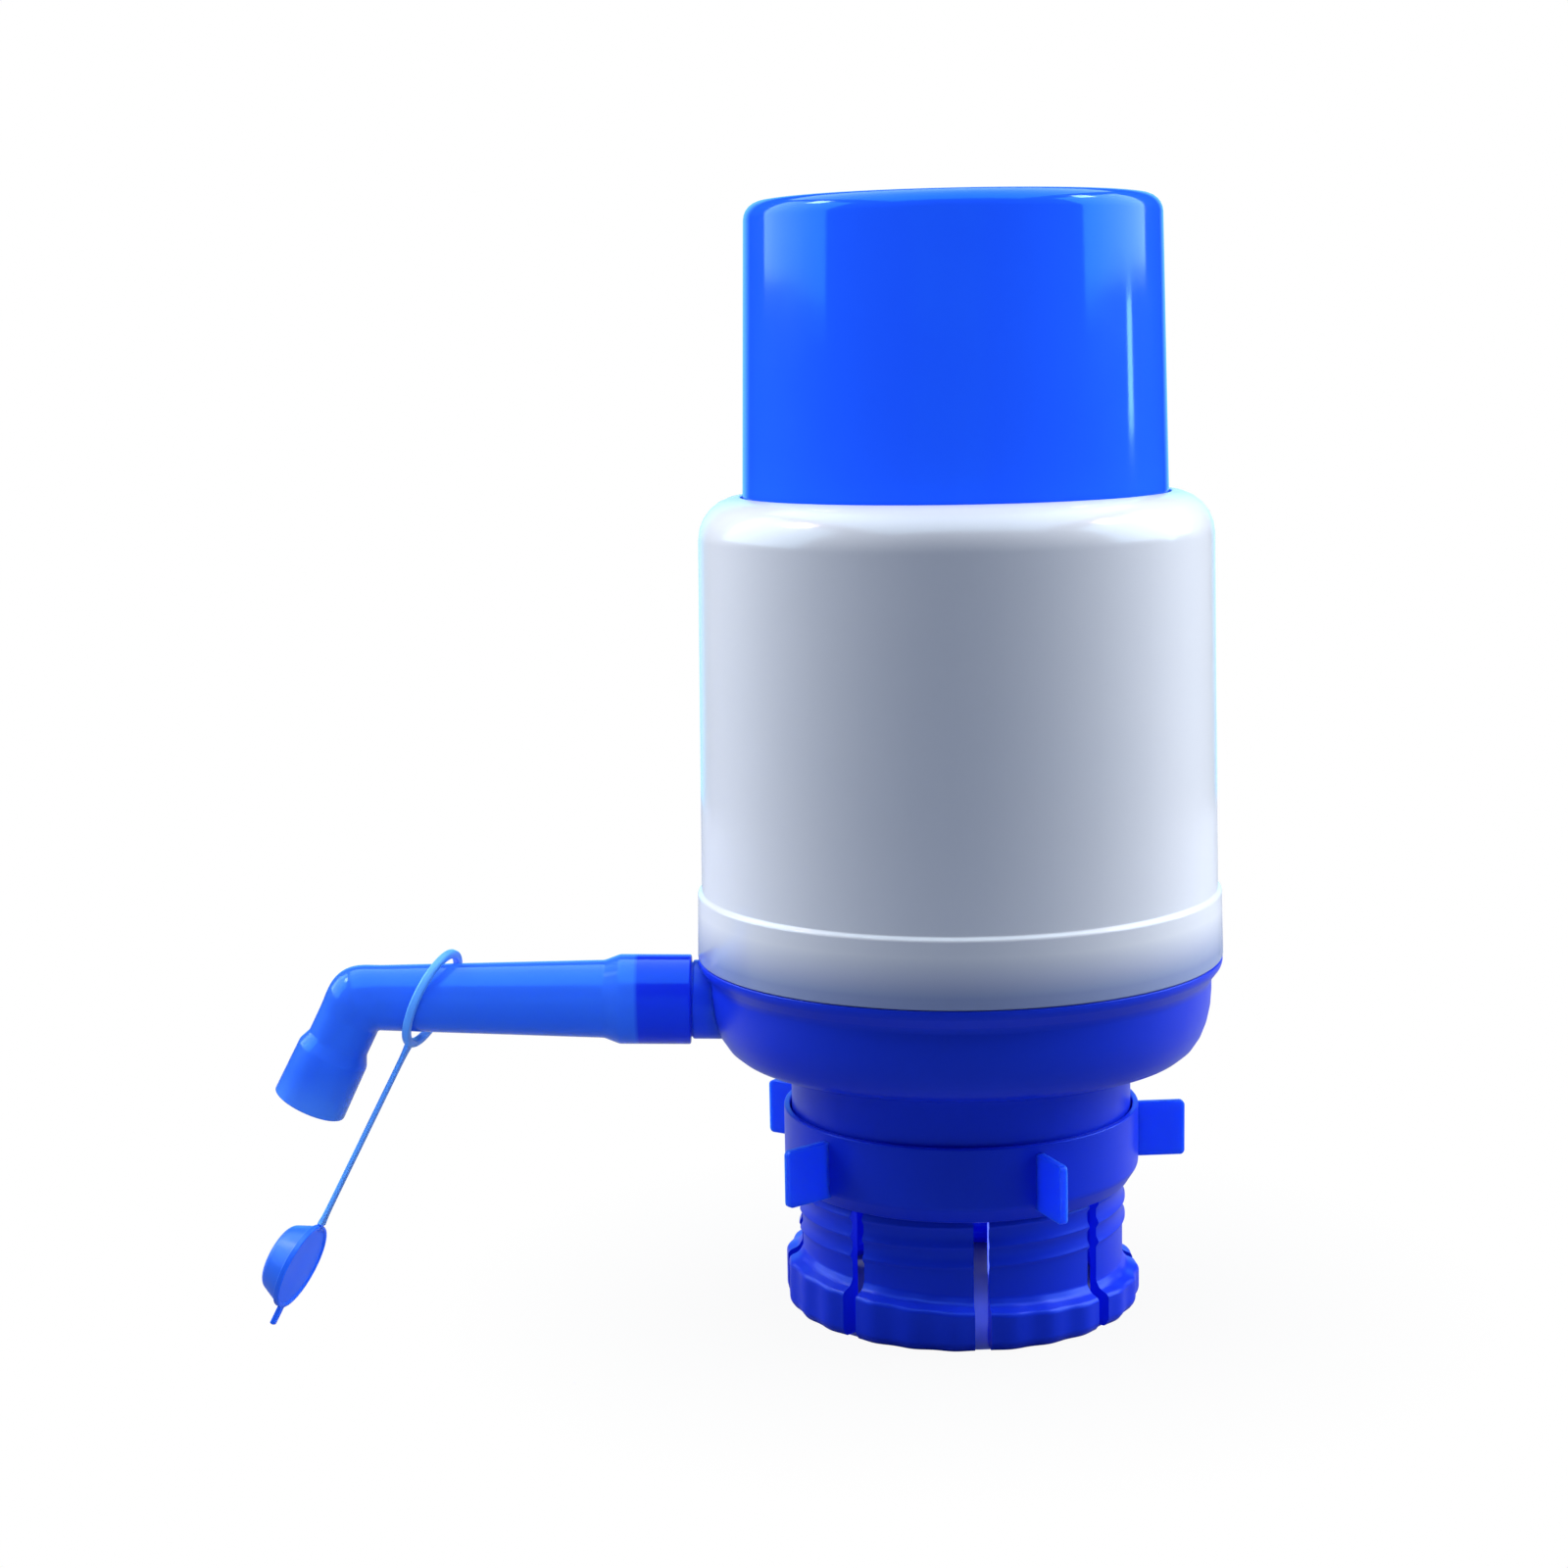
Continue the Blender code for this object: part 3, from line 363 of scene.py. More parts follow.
# %% Press cap
cap_low, cap_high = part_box("press_cap")
cap_bottom = cap_low.z / MM
cap_top = cap_high.z / MM
casing_top = casing_high.z / MM
cap_draft = math.tan(math.radians(1.3))
cap_radius = 37.02
cap_wall = 1.8
cap_round = 3.2
cap_ceiling = cap_top - cap_wall
flange_radius = (cap_high.x - cap_low.x) / 2 / MM
flange_top = casing_top - 2.3
flange_bottom = flange_top - 5.7
flange_slope = (2.7, 3.3)
rib_radius = 28.17
rib_bore = rib_radius - 2.2
rib_bottom = cap_ceiling - 2.6


def cap_side(height):
    """The cap's outer radius at a height."""
    return cap_radius + (cap_top - height) * cap_draft


press_cap = wire([
    (0, cap_top), (cap_radius, cap_top, cap_round),
    (cap_side(flange_top), flange_top), (flange_radius - flange_slope[0], flange_top, 0.3),
    (flange_radius, flange_top - flange_slope[1], 0.3), (flange_radius, flange_bottom, 0.3),
    (cap_side(flange_bottom), flange_bottom), (cap_side(cap_bottom), cap_bottom, 0.4),
    (cap_side(cap_bottom) - cap_wall, cap_bottom, 0.4),
    (cap_side(cap_ceiling) - cap_wall, cap_ceiling, 1.4),
    (rib_radius, cap_ceiling), (rib_radius, rib_bottom, 0.3), (rib_bore, rib_bottom, 0.3),
    (rib_bore, cap_ceiling), (0, cap_ceiling)], closed=False)
piece("press_cap_shell", spun(press_cap), on_pump, "press", cap_abs, "press_cap_blue", "press_cap")

# %% [markdown]
# The casing is a tube with a round shoulder that leans in by a millimetre. A wider band at its
# foot covers the joint with the bowl below. The band's top edge is a small crisp step that catches
# a line of light, and below it the band flares out a little. A hair's breadth at its foot keeps it
# inside the solid's box.

# %% Casing
casing_bottom = casing_low.z / MM
casing_lean = 0.95
casing_wall = 2.0
shoulder = 7.6
band_radius = (casing_high.x - casing_low.x) / 2 / MM
band_step = 1.0
band_flare = 0.3
band_top = casing_bottom + 12.2
step_above = 0.25
step_below = 0.35
hair = 0.02
casing_radius = band_radius - band_step
casing_bore = casing_radius - casing_wall
opening = casing_radius - casing_lean - shoulder
ceiling = casing_top - casing_wall
casing = wire([
    (opening, casing_top, 0.25), (casing_radius - casing_lean, casing_top, shoulder),
    (casing_radius, band_top + step_above, 0.2),
    (band_radius - band_flare, band_top - step_below, 0.3),
    (band_radius - hair, casing_bottom, 0.3), (casing_bore, casing_bottom, 0.3),
    (casing_bore, band_top), (casing_bore - casing_lean, ceiling, 3.0), (opening, ceiling, 0.25)])
piece("casing_shell", spun(casing), on_pump, "base", casing_abs, "casing_white", "casing")

# %% [markdown]
# The pump base is one moulding: a shallow bowl with a lip under the casing, the spigot that holds
# the casing from inside, a flat floor with four air holes, and the skirt that reaches down into
# the clamp ring. Only its holes need cutting, which a Boolean does. The modifier is applied and
# its cutter removed.

# %% Cutting tools
def carved(mesh, cutter):
    """Cuts one bmesh out of another with an exact Boolean."""
    things = []
    for name, source in (("blank", mesh), ("cutter", cutter)):
        data = bpy.data.meshes.new(name)
        source.to_mesh(data)
        source.free()
        things.append(bpy.data.objects.new(name, data))
        bpy.context.scene.collection.objects.link(things[-1])
    cut = things[0].modifiers.new("cut", "BOOLEAN")
    cut.operation = "DIFFERENCE"
    cut.solver = "EXACT"
    cut.object = things[1]
    bpy.context.view_layer.update()
    graph = bpy.context.evaluated_depsgraph_get()
    result = bmesh.new()
    result.from_object(things[0], graph)
    for thing in things:
        data = thing.data
        bpy.data.objects.remove(thing)
        bpy.data.meshes.remove(data)
    return result


def rods(places, radius, low, high, faces=32):
    """Upright round bars at several places."""
    mesh = bmesh.new()
    for x, y in places:
        bmesh.ops.create_cone(mesh, cap_ends=True, segments=faces, radius1=radius, radius2=radius,
                              depth=high - low, matrix=Matrix.Translation((x, y, (low + high) / 2)))
    return mesh


# %% [markdown]
# The bowl's outline starts at the hole for the dip tube's nipple, goes down and up round the
# skirt, along the belly and up the rounded side to the lip and the spigot, and comes back inside.

# %% Bowl with its skirt
neck_top = 46.0
floor_top = 48.2
nipple_hole = 6.3
skirt_bore = 30.2
skirt_radius = 31.4
skirt_bottom = 31.5
belly = 47.9
belly_radius = 39.3
bowl_radius = 46.1
bowl_wall = 2
bowl_round = (6.8, 11.6)
inner_round = (4.8, 9.6)
inner_edge = 59.5
lip_radius = band_radius - 0.1
lip_top = casing_bottom - 0.1
lip_bottom = lip_top - 1.3
lip_slope = 2.6
spigot_radius = casing_bore - 0.3
spigot_bore = spigot_radius - 2.0
spigot_top = lip_top + 10
ledge = 1.8
hole_circle = 14
hole_radius = 2.0
bowl = spun(wire([
    (nipple_hole, neck_top), (skirt_bore, neck_top), (skirt_bore, skirt_bottom, 0.3),
    (skirt_radius, skirt_bottom, 0.3), (skirt_radius, neck_top, 0.5), (belly_radius, belly, 1.0),
    (bowl_radius, belly, *bowl_round), (bowl_radius, lip_bottom - lip_slope, 0.8),
    (lip_radius, lip_bottom, 0.6), (lip_radius, lip_top, 0.3),
    (spigot_radius, lip_top), (spigot_radius, spigot_top, 0.4), (spigot_bore, spigot_top, 0.4),
    (spigot_bore, casing_bottom), (spigot_bore - ledge, casing_bottom),
    (spigot_bore - ledge, casing_bottom - ledge), (bowl_radius - bowl_wall, inner_edge),
    (bowl_radius - bowl_wall, belly + bowl_wall, *inner_round),
    (skirt_radius, floor_top), (nipple_hole, floor_top)]))
hole_turns = [math.pi / 4 + math.tau * step / 4 for step in range(4)]
air_holes = [(hole_circle * math.cos(turn), hole_circle * math.sin(turn)) for turn in hole_turns]
bowl = carved(bowl, rods(air_holes, hole_radius, neck_top - 1, floor_top + 1))
piece("pump_base_bowl", bowl, on_pump, "base", base_pp, "base_blue", "pump_base")

# %% [markdown]
# The port sticks out of the bowl's side: a collar and, inside the spout's socket, a nipple that
# the spout turns on. Its axis is the spout's joint, so its place comes from the mechanism. It is
# turned about Z like the rest and then laid along that axis.

# %% Port
def joint(name):
    """The joint of the mechanism with this name."""
    return next(found for found in frame["joints"] if found["name"] == name)


def axes(origin, x, y, z):
    """A place from its origin, in metres, and its three directions, for a shape in millimetres."""
    turn = Matrix((x, y, z)).transposed().to_4x4()
    return Matrix.Translation(origin) @ turn @ Matrix.Scale(MM, 4)


swivel = joint("spout_swivel")
outwards = Vector(swivel["axis"]).normalized()
side = Vector((0, 1, 0))
upwards = side.cross(-outwards).normalized() * -1
at_port = axes(Vector(swivel["pos_m"]), -outwards, side, upwards)
along_x = Matrix.Rotation(math.pi / 2, 4, "Y")
collar_radius = 7.3
collar_bore = 5.8
collar_root = 9.5
collar_end = -3.2
nipple_radius = 6.9
nipple_bore = 4.5
nipple_end = -13.5
bore_step = -0.5
port_steps = 72
port = spun(wire([
    (collar_bore, collar_root), (collar_radius, collar_root), (collar_radius, collar_end, 0.4),
    (nipple_radius, collar_end), (nipple_radius, nipple_end, 0.4), (nipple_bore, nipple_end, 0.3),
    (nipple_bore, bore_step), (collar_bore, bore_step)]), port_steps)
# The port gets the brighter material with painted glow
piece("pump_base_port", port, at_port @ along_x, "base", glow_painted_pp, "base_blue", "pump_base")

# %% [markdown]
# The collet has eight springy claws. Each is one face spun through its own share of the circle, so
# its ends are closed and flat. Three waves in the foot's outer face make its soft flutes. The
# thread's ridges start level and are then raised with the angle, which turns them into one helix
# that runs on from claw to claw. The foot's top edge stands higher on the spout's side, as in the
# photo.

# %% A claw
collet_bore = 28.6
collet_radius = 29.9
collet_top = 45.7
slot_top = 24.3
slot_width = 2.7
claw_count = 8
claw_steps = 30
first_slot = math.radians(2.9)
slot_half = math.asin(slot_width / 2 / collet_radius)
claw_span = math.tau / claw_count - 2 * slot_half
hook = 0.8
foot_radius = 33.0
foot_top = 7.0
foot_tilt = 1.5
tilt_from = 4.5
ledge_radius = foot_radius - 2.2
wall_foot = 10.2
thread_radius = 30.4
thread_pitch = 3.6
ridge_half = 1.0
ridge_count = 3
flute_depth = 0.2
flute_count = 3


def foot_height(turn):
    """The height of the foot's top edge at an angle."""
    return foot_top + 0.1 - foot_tilt * math.cos(turn)


def claw(turn):
    """One claw, with the slot before it at this angle."""
    ridges = []
    for step in range(ridge_count):
        middle = wall_foot + ridge_half + thread_pitch * (step + 0.5)
        ridges += [(collet_radius, middle - ridge_half), (thread_radius, middle - 0.25),
                   (thread_radius, middle + 0.1), (collet_radius, middle + ridge_half)]
    shape = wire([
        (collet_bore, slot_top), (collet_bore, 3.6, 0.5), (collet_bore - hook, 2.4, 0.3),
        (collet_bore - hook, 1.2, 0.2), (collet_bore, 0, 0.2), (foot_radius - 0.9, 0, 0.3),
        (foot_radius, 1.2, 0.6), (foot_radius, foot_top, 0.7), (ledge_radius, foot_top + 0.9, 0.6),
        (collet_radius, wall_foot - 1.0, 0.3)] + ridges + [(collet_radius, slot_top)])
    bmesh.ops.contextual_create(shape, geom=shape.edges[:])
    bmesh.ops.rotate(shape, verts=shape.verts, matrix=Matrix.Rotation(turn + slot_half, 3, "Z"))
    spun(shape, claw_steps, claw_span)
    for point in shape.verts:
        angle = math.atan2(point.co.y, point.co.x)
        past = (angle - turn - slot_half) % math.tau
        share = min(past / claw_span, 1) if past < math.pi else 0
        radius = math.hypot(point.co.x, point.co.y)
        height = point.co.z
        if radius > collet_radius + 0.01 and height < wall_foot:
            wave = flute_depth * (1 + math.cos(math.tau * flute_count * share))
            inwards = wave * min(1, (radius - collet_radius) / 2)
            point.co.x *= (radius - inwards) / radius
            point.co.y *= (radius - inwards) / radius
        if tilt_from < height < wall_foot and radius > collet_radius - 0.01:
            part = min(1, max(0, (height - tilt_from) / 2))
            point.co.z += (foot_height(angle) - foot_top) * part
        if wall_foot + 0.9 < height < slot_top - 0.1:
            whole_turn = ((turn + claw_span * share) % math.tau) / math.tau
            point.co.z += thread_pitch * whole_turn - 0.6
    return shape


# %% [markdown]
# Above the slots a plain cuff holds the claws together. Its face and theirs meet, so all nine
# shells go into one piece.

# %% Collet
claws = [claw(first_slot + math.tau * step / claw_count) for step in range(claw_count)]
cuff = spun(wire([(collet_bore, slot_top), (collet_radius, slot_top),
                  (collet_radius, collet_top, 0.4), (collet_bore, collet_top, 0.3)]))
piece("collet_claws", joined(cuff, *claws), on_pump, "base", base_pp, "base_blue", "collet")

# %% [markdown]
# The clamp ring screws down over the claws and squeezes them. Its outside has a wide chamfer
# below, and its bore has a narrow part that runs on the thread and a wider one that clears the
# skirt.

# %% Clamp ring
ring_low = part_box("clamp_ring")[0].z / MM
ring_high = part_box("clamp_ring")[1].z / MM
ring_radius = 32.85
ring_foot_radius = 31.0
ring_chamfer = 2.9
thread_bore = 30.75
skirt_clearance = 31.75
bore_change = 30.7
ring = spun(wire([
    (ring_radius, ring_high, 0.35), (ring_radius, ring_low + ring_chamfer, 0.5),
    (ring_foot_radius, ring_low, 0.3), (thread_bore, ring_low), (thread_bore, bore_change),
    (skirt_clearance, bore_change), (skirt_clearance, ring_high, 0.3)]))
piece("clamp_ring_turned", ring, on_pump, "ring", base_pp, "base_blue", "clamp_ring")

# %% [markdown]
# Five thin wings give the fingers a hold. Each is a cube that is stretched, whose two outer
# corners are rounded and whose edges are then softened. They are a piece of their own because they
# are so thin that they get the brighter material with painted glow, and they ride on the ring's body with it.

# %% Wings
def block(low, high, fillet, corner=0):
    """A stretched cube with softened edges, and its outer corners, along Y, rounded before that."""
    mesh = bmesh.new()
    low, high = Vector(low), Vector(high)
    bmesh.ops.create_cube(mesh, size=1, matrix=Matrix.Translation((low + high) / 2)
                          @ Matrix.Diagonal((*(high - low), 1)))
    if corner:
        outer = [edge for edge in mesh.edges
                 if abs((edge.verts[0].co - edge.verts[1].co).normalized().y) > 0.9
                 and edge.verts[0].co.x > (low.x + high.x) / 2]
        bmesh.ops.bevel(mesh, geom=outer, offset=corner, affect="EDGES", segments=8, profile=0.5,
                        material=-1)
    sharp = [edge for edge in mesh.edges if edge.calc_face_angle(0) > math.radians(60)]
    bmesh.ops.bevel(mesh, geom=sharp, offset=fillet, affect="EDGES", segments=3, profile=0.5,
                    material=-1)
    return mesh


wing_count = 5
wing_first = math.radians(3.3)
wing_low = (ring_radius - 0.6, -0.75, ring_low + 2.0)
wing_high = (ring_radius + 9.25, 0.75, ring_low + 12.4)
wing_fillet = 0.25
wing_corner = 0.9
wings = []
for step in range(wing_count):
    wing = block(wing_low, wing_high, wing_fillet, wing_corner)
    turn = Matrix.Rotation(wing_first + math.tau * step / wing_count, 3, "Z")
    bmesh.ops.rotate(wing, verts=wing.verts, matrix=turn)
    wings.append(wing)
piece("clamp_ring_wings", joined(*wings), on_pump, "ring", glow_painted_pp, "base_blue", "clamp_ring")

# %% [markdown]
# The spout is drawn as a chain of circles along its middle line, outside and back inside, and
# bridge_loops skins each pair. A bent tube could also be a curve with a bevel, but its radius
# changes all the way, and the chain can change it at every circle.

# %% Chain of circles
def chain(stations, faces=72):
    """Skins circles, given as (middle, direction, radius), and joins the last to the first."""
    mesh = bmesh.new()
    loops = []
    across = Vector((0, 1, 0))
    for middle, way, radius in stations:
        up = way.cross(across).normalized()
        turn = Matrix((across, up, across.cross(up))).transposed().to_4x4()
        points = bmesh.ops.create_circle(mesh, segments=faces, radius=radius,
                                         matrix=Matrix.Translation(middle) @ turn)["verts"]
        loops.append({edge for point in points for edge in point.link_edges})
    for first, second in zip(loops, loops[1:] + loops[:1]):
        bmesh.ops.bridge_loops(mesh, edges=list(first | second))
    bmesh.ops.recalc_face_normals(mesh, faces=mesh.faces)
    return mesh


# %% [markdown]
# From the pump outwards the spout has a socket, a tube that tapers, a short bend, a leg and a
# sleeve at the mouth. The bend is worked out by turning one circle about the bend's pivot. It
# bulges a little on the way, because the real elbow's outer corner is tighter than its inner one.
# The bore follows the outside at the wall's thickness and has a seat for the dust cap's plug. The
# shoulders and rims are then found by the angle of their edges and rounded.

# %% Spout
out = Vector((-1, 0, 0))
spout_wall = 1.1
socket_start = 3.5
socket_radius = 8.3
socket_bore = 7.15
socket_end = 16.7
bore_end = 16.4
taper_end = 19.6
bore_taper_end = 17.6
tube_radius = 7.2
tube_end = 6.05
leg_radius = 5.8
elbow_at = 65.0
elbow_bulge = 0.6
elbow_round = 0.8
bend = math.radians(64.6)
bend_steps = 20
leg_end = 9.4
sleeve_start = 11.6
sleeve_radius = (6.75, 6.95)
seat_radius = (4.7, 5.65, 5.85)
seat_end = 13.8
mouth = 22.4
down = Matrix.Rotation(-bend, 3, "Y") @ out
corner = out * elbow_at
pivot_radius = tube_end + elbow_round
pivot = corner - out * pivot_radius * math.tan(bend / 2) - Vector((0, 0, pivot_radius))
outer = [(out * socket_start, out, socket_radius), (out * socket_end, out, socket_radius),
         (out * taper_end, out, tube_radius)]
for step in range(bend_steps + 1):
    turned = Matrix.Rotation(-bend * step / bend_steps, 3, "Y")
    bulge = elbow_bulge * math.sin(math.pi * step / bend_steps) ** 2
    radius = tube_end + (leg_radius - tube_end) * step / bend_steps + bulge
    outer.append((pivot + turned @ Vector((0, 0, pivot_radius + bulge)), turned @ out, radius))
outer += [(corner + down * leg_end, down, leg_radius),
          (corner + down * sleeve_start, down, sleeve_radius[0]),
          (corner + down * mouth, down, sleeve_radius[1])]
inner = [(out * socket_start, out, socket_bore), (out * bore_end, out, socket_bore),
         (out * bore_taper_end, out, tube_radius - spout_wall)]
inner += [(middle, way, radius - spout_wall) for middle, way, radius in outer[3:-2]]
inner += [(corner + down * sleeve_start, down, seat_radius[0]),
          (corner + down * seat_end, down, seat_radius[1]),
          (corner + down * mouth, down, seat_radius[2])]
spout_mesh = chain(outer + inner[::-1])
shoulders = [edge for edge in spout_mesh.edges if edge.calc_face_angle(0) > math.radians(14)]
bmesh.ops.bevel(spout_mesh, geom=shoulders, offset=0.35, affect="EDGES", segments=4, profile=0.5,
                material=-1)
piece("spout_tube", spout_mesh, at_port, "spout", spout_pp, "spout_blue", "spout")

# %% [markdown]
# The leash is one soft moulding: a ring that slides on the spout, a strap and the dust cap. It
# bends at two thin necks, which are joints of the mechanism, so their places give the leash its
# own directions. The ring is turned and laid across them.

# %% Leash ring
swing = joint("strap_swing")
flex = joint("cap_flex")
eye_at = Vector(swing["pos_m"])
neck_at = Vector(flex["pos_m"])
leash_up = (eye_at - neck_at).normalized()
leash_side = Vector(swing["axis"]).normalized()
leash_front = leash_side.cross(leash_up).normalized()
at_eye = axes(eye_at, leash_front, leash_side, leash_up)
at_neck = axes(neck_at, leash_front, leash_side, leash_up)
loop_radius = 9.85
loop_bore = 8.3
loop_front = 0.9
loop_back = -0.55
eye_to_middle = 9.9
ring_middle = axes(eye_at + leash_up * eye_to_middle * MM, leash_front, leash_side, leash_up)
loop_mesh = spun(wire([(loop_radius, loop_front, 0.45), (loop_radius, loop_back, 0.45),
                       (loop_bore, loop_back, 0.4), (loop_bore, loop_front, 0.4)]), fine_steps)
# The ring gets the lighter material with painted glow
piece("leash_ring_loop", loop_mesh, ring_middle @ along_x, "leash", glow_painted_ldpe, "leash_blue",
      "leash_ring")

# %% [markdown]
# The strap is a thin flat bar from neck to neck. It is cut into short lengths so that its ends can
# widen smoothly towards the ring and the cap.

# %% Leash strap
strap_length = (eye_at - neck_at).length / MM
strap_thickness = 0.8
strap_width = 1.5
strap_overlap = 0.8
strap_cuts = 60
end_widening = 0.9
end_reach = 1.2
strap = bmesh.new()
strap_size = Matrix.Diagonal((strap_thickness, strap_width, strap_length + strap_overlap, 1))
strap_middle = Matrix.Translation((0, 0, -strap_length / 2))
bmesh.ops.create_cube(strap, size=1, matrix=strap_middle @ strap_size)
long_edges = [edge for edge in strap.edges if abs(edge.verts[0].co.z - edge.verts[1].co.z) > 1]
bmesh.ops.subdivide_edges(strap, edges=long_edges, cuts=strap_cuts)
for point in strap.verts:
    from_end = min(-point.co.z, point.co.z + strap_length)
    point.co.y *= 1 + end_widening * math.exp(-max(from_end, 0) / end_reach)
sharp = [edge for edge in strap.edges if edge.calc_face_angle(0) > math.radians(50)]
bmesh.ops.bevel(strap, geom=sharp, offset=0.2, affect="EDGES", segments=3, profile=0.5, material=-1)
# The strap gets the lighter material with painted glow
piece("leash_strap_band", strap, at_eye, "strap", glow_painted_ldpe, "leash_blue", "leash_strap")
print("strap: %.1f mm between its necks" % strap_length)

# %% [markdown]
# The dust cap is a disc with a hollow plug that narrows towards its end, so that it finds the
# mouth. A tab on its far side gives a fingertip a hold, and a short neck joins it to the strap.

# %% Dust cap
disc_radius = 8.2
disc_face = 0.4
disc_back = -0.7
plug_radius = (7.8, 5.9)
plug_bore = 4.6
plug_end = -4.95
plug_floor = -0.95
neck_to_middle = 8.75
disc = spun(wire([
    (0, 0.1), (7.4, 0.1, 0.12), (7.6, disc_face, 0.12), (disc_radius, disc_face, 0.22),
    (disc_radius, disc_back, 0.25), (plug_radius[0], disc_back, 0.1),
    (plug_radius[1], plug_end, 1.1), (plug_bore, plug_end, 0.3), (plug_bore, plug_floor, 0.3),
    (0, plug_floor)], closed=False), fine_steps)
bmesh.ops.rotate(disc, verts=disc.verts, matrix=along_x.to_3x3())
tab = block((-0.5, -0.8, -20.4), (0.4, 0.8, -16.4), 0.3)
neck = block((-0.5, -0.9, -1.6), (0.4, 0.9, 0.0), 0.3)
bmesh.ops.translate(disc, verts=disc.verts, vec=(0, 0, -neck_to_middle))
piece("dust_cap_disc", joined(disc, tab, neck), at_neck, "cap", leash_ldpe, "leash_blue",
      "dust_cap")

# %% [markdown]
# Inside, the collet hides a soft gasket, on which the jug's edge seats, and the nipple of the dip
# tube. The nipple has three barbs that hold the tube and a collar under the pump's floor. Both are
# turned.

# %% Gasket and nipple
gasket_bore = 21.5
gasket_radius = 28.3
gasket_low = 42.4
gasket_high = 45.4
gasket = spun(wire([
    (gasket_bore, gasket_low, 0.5), (gasket_radius, gasket_low, 0.5),
    (gasket_radius, gasket_high, 0.5), (gasket_bore, gasket_high, 0.5)]), fine_steps)
piece("jug_gasket_ring", gasket, on_pump, "base", silicone, "silicone_white", "jug_gasket")

tip_low = 16
tip_radius = 5.65
stem_radius = 6.0
stem_bore = 4.0
stem_high = 50.4
barb_radius = 6.7
barb_pitch = 3
stop_radius = 9.0
stop_low = 43.7
stop_high = 45.7
barbs = []
for step in range(3, 0, -1):
    barb_at = tip_low + barb_pitch * step
    barbs += [(stem_radius, barb_at), (barb_radius, barb_at - 0.7, 0.15)]
nipple = spun(wire([
    (stem_radius, stem_high, 0.3), (stem_radius, stop_high), (stop_radius, stop_high, 0.4),
    (stop_radius, stop_low, 0.4), (stem_radius, stop_low, 0.4)] + barbs
    + [(tip_radius, tip_low, 0.2), (stem_bore, tip_low, 0.3), (stem_bore, stem_high, 0.3)]),
    fine_steps)
piece("dip_nipple_barbed", nipple, on_pump, "base", inner_pp, "inner_white", "dip_tube_nipple")

# %% [markdown]
# Inside the casing the bellows is a thin rubber wall in seven folds between a flat flange and a
# short neck. Its outline is two zigzags, with every tip rounded.

# %% Bellows
plate_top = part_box("bellows")[0].z / MM
bellows_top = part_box("bellows")[1].z / MM
fold_count = 7
fold_low = 73.7
fold_high = bellows_top - 6.0
fold_pitch = (fold_high - fold_low) / fold_count
fold_round = 1.1
valley = 27.37
crest = 32.97
rubber_wall = 1.2
flange_edge = 42.6
flange_thick = 2
neck_bore = 25.17
outside = [(flange_edge, plate_top, 0.3), (flange_edge, plate_top + flange_thick, 0.3),
           (valley, plate_top + flange_thick, 0.3)]
inside = [(valley - rubber_wall, plate_top)]
for step in range(fold_count):
    base = fold_low + fold_pitch * step
    outside += [(valley, base, fold_round), (crest, base + fold_pitch / 2, fold_round)]
    inside += [(valley - rubber_wall, base, fold_round),
               (crest - rubber_wall, base + fold_pitch / 2, fold_round)]
outside += [(valley, fold_high, fold_round), (valley, bellows_top, 0.3)]
inside += [(valley - rubber_wall, fold_high, fold_round), (neck_bore, fold_high + 3),
           (neck_bore, bellows_top, 0.3)]
bellows = piece("bellows_folds", spun(wire(outside + inside[::-1]), fine_steps), on_pump, "base",
                rubber, "rubber_black", "bellows")

# %% [markdown]
# The return spring is a round wire wound ten times. One disc, spun with a rise, gives the whole
# coil.

# %% Return spring
spring_low, spring_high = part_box("return_spring")
spring_radius = (spring_high.x - spring_low.x) / 2 / MM
wire_radius = 0.9
curls = 10
curl_steps = 24
rise = ((spring_high.z - spring_low.z) / MM - 2 * wire_radius) / (curls * curl_steps)
coil = bmesh.new()
wire_end = Matrix.Translation((spring_radius - wire_radius, 0, spring_low.z / MM + wire_radius))
bmesh.ops.create_circle(coil, cap_ends=True, segments=14, radius=wire_radius,
                        matrix=wire_end @ Matrix.Rotation(math.pi / 2, 4, "X"))
bmesh.ops.spin(coil, geom=coil.verts[:] + coil.edges[:] + coil.faces[:], cent=(0, 0, 0),
               axis=(0, 0, 1), dvec=(0, 0, rise), angle=math.tau * curls, steps=curls * curl_steps,
               use_merge=False, use_duplicate=False)
bmesh.ops.recalc_face_normals(coil, faces=coil.faces)
spring = piece("return_spring_coil", coil, on_pump, "base", wire_steel, "spring_steel",
               "return_spring")

# %% [markdown]
# Neither can follow the cap's slide as a rigid body. Here their modifiers come off and each gets
# a mesh of its own.

# %% Soft pieces
for soft in (bellows, spring):
    soft.modifiers.clear()
    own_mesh(soft)
    print(soft.name, "flattens with the press cap")

# %% [markdown]
# The other inner parts keep the shapes that the frame gives and get the materials above.

# %% Finish of the inner solids
slots = {entry["node"]: entry["material_slot"] for entry in frame["record"]["subparts"]}
for name, solid in frame["nodes"].items():
    if not solid.hide_render:
        look = inner_looks[slots[name]]
        solid.data.materials.clear()
        solid.data.materials.append(look)
        print(name, "keeps its solid, in", look.name)

# %% [markdown]
# The camera stands half a metre in front, a little above the middle, with a long lens and a slight
# roll. Its numbers were fitted to the outlines in the photo.

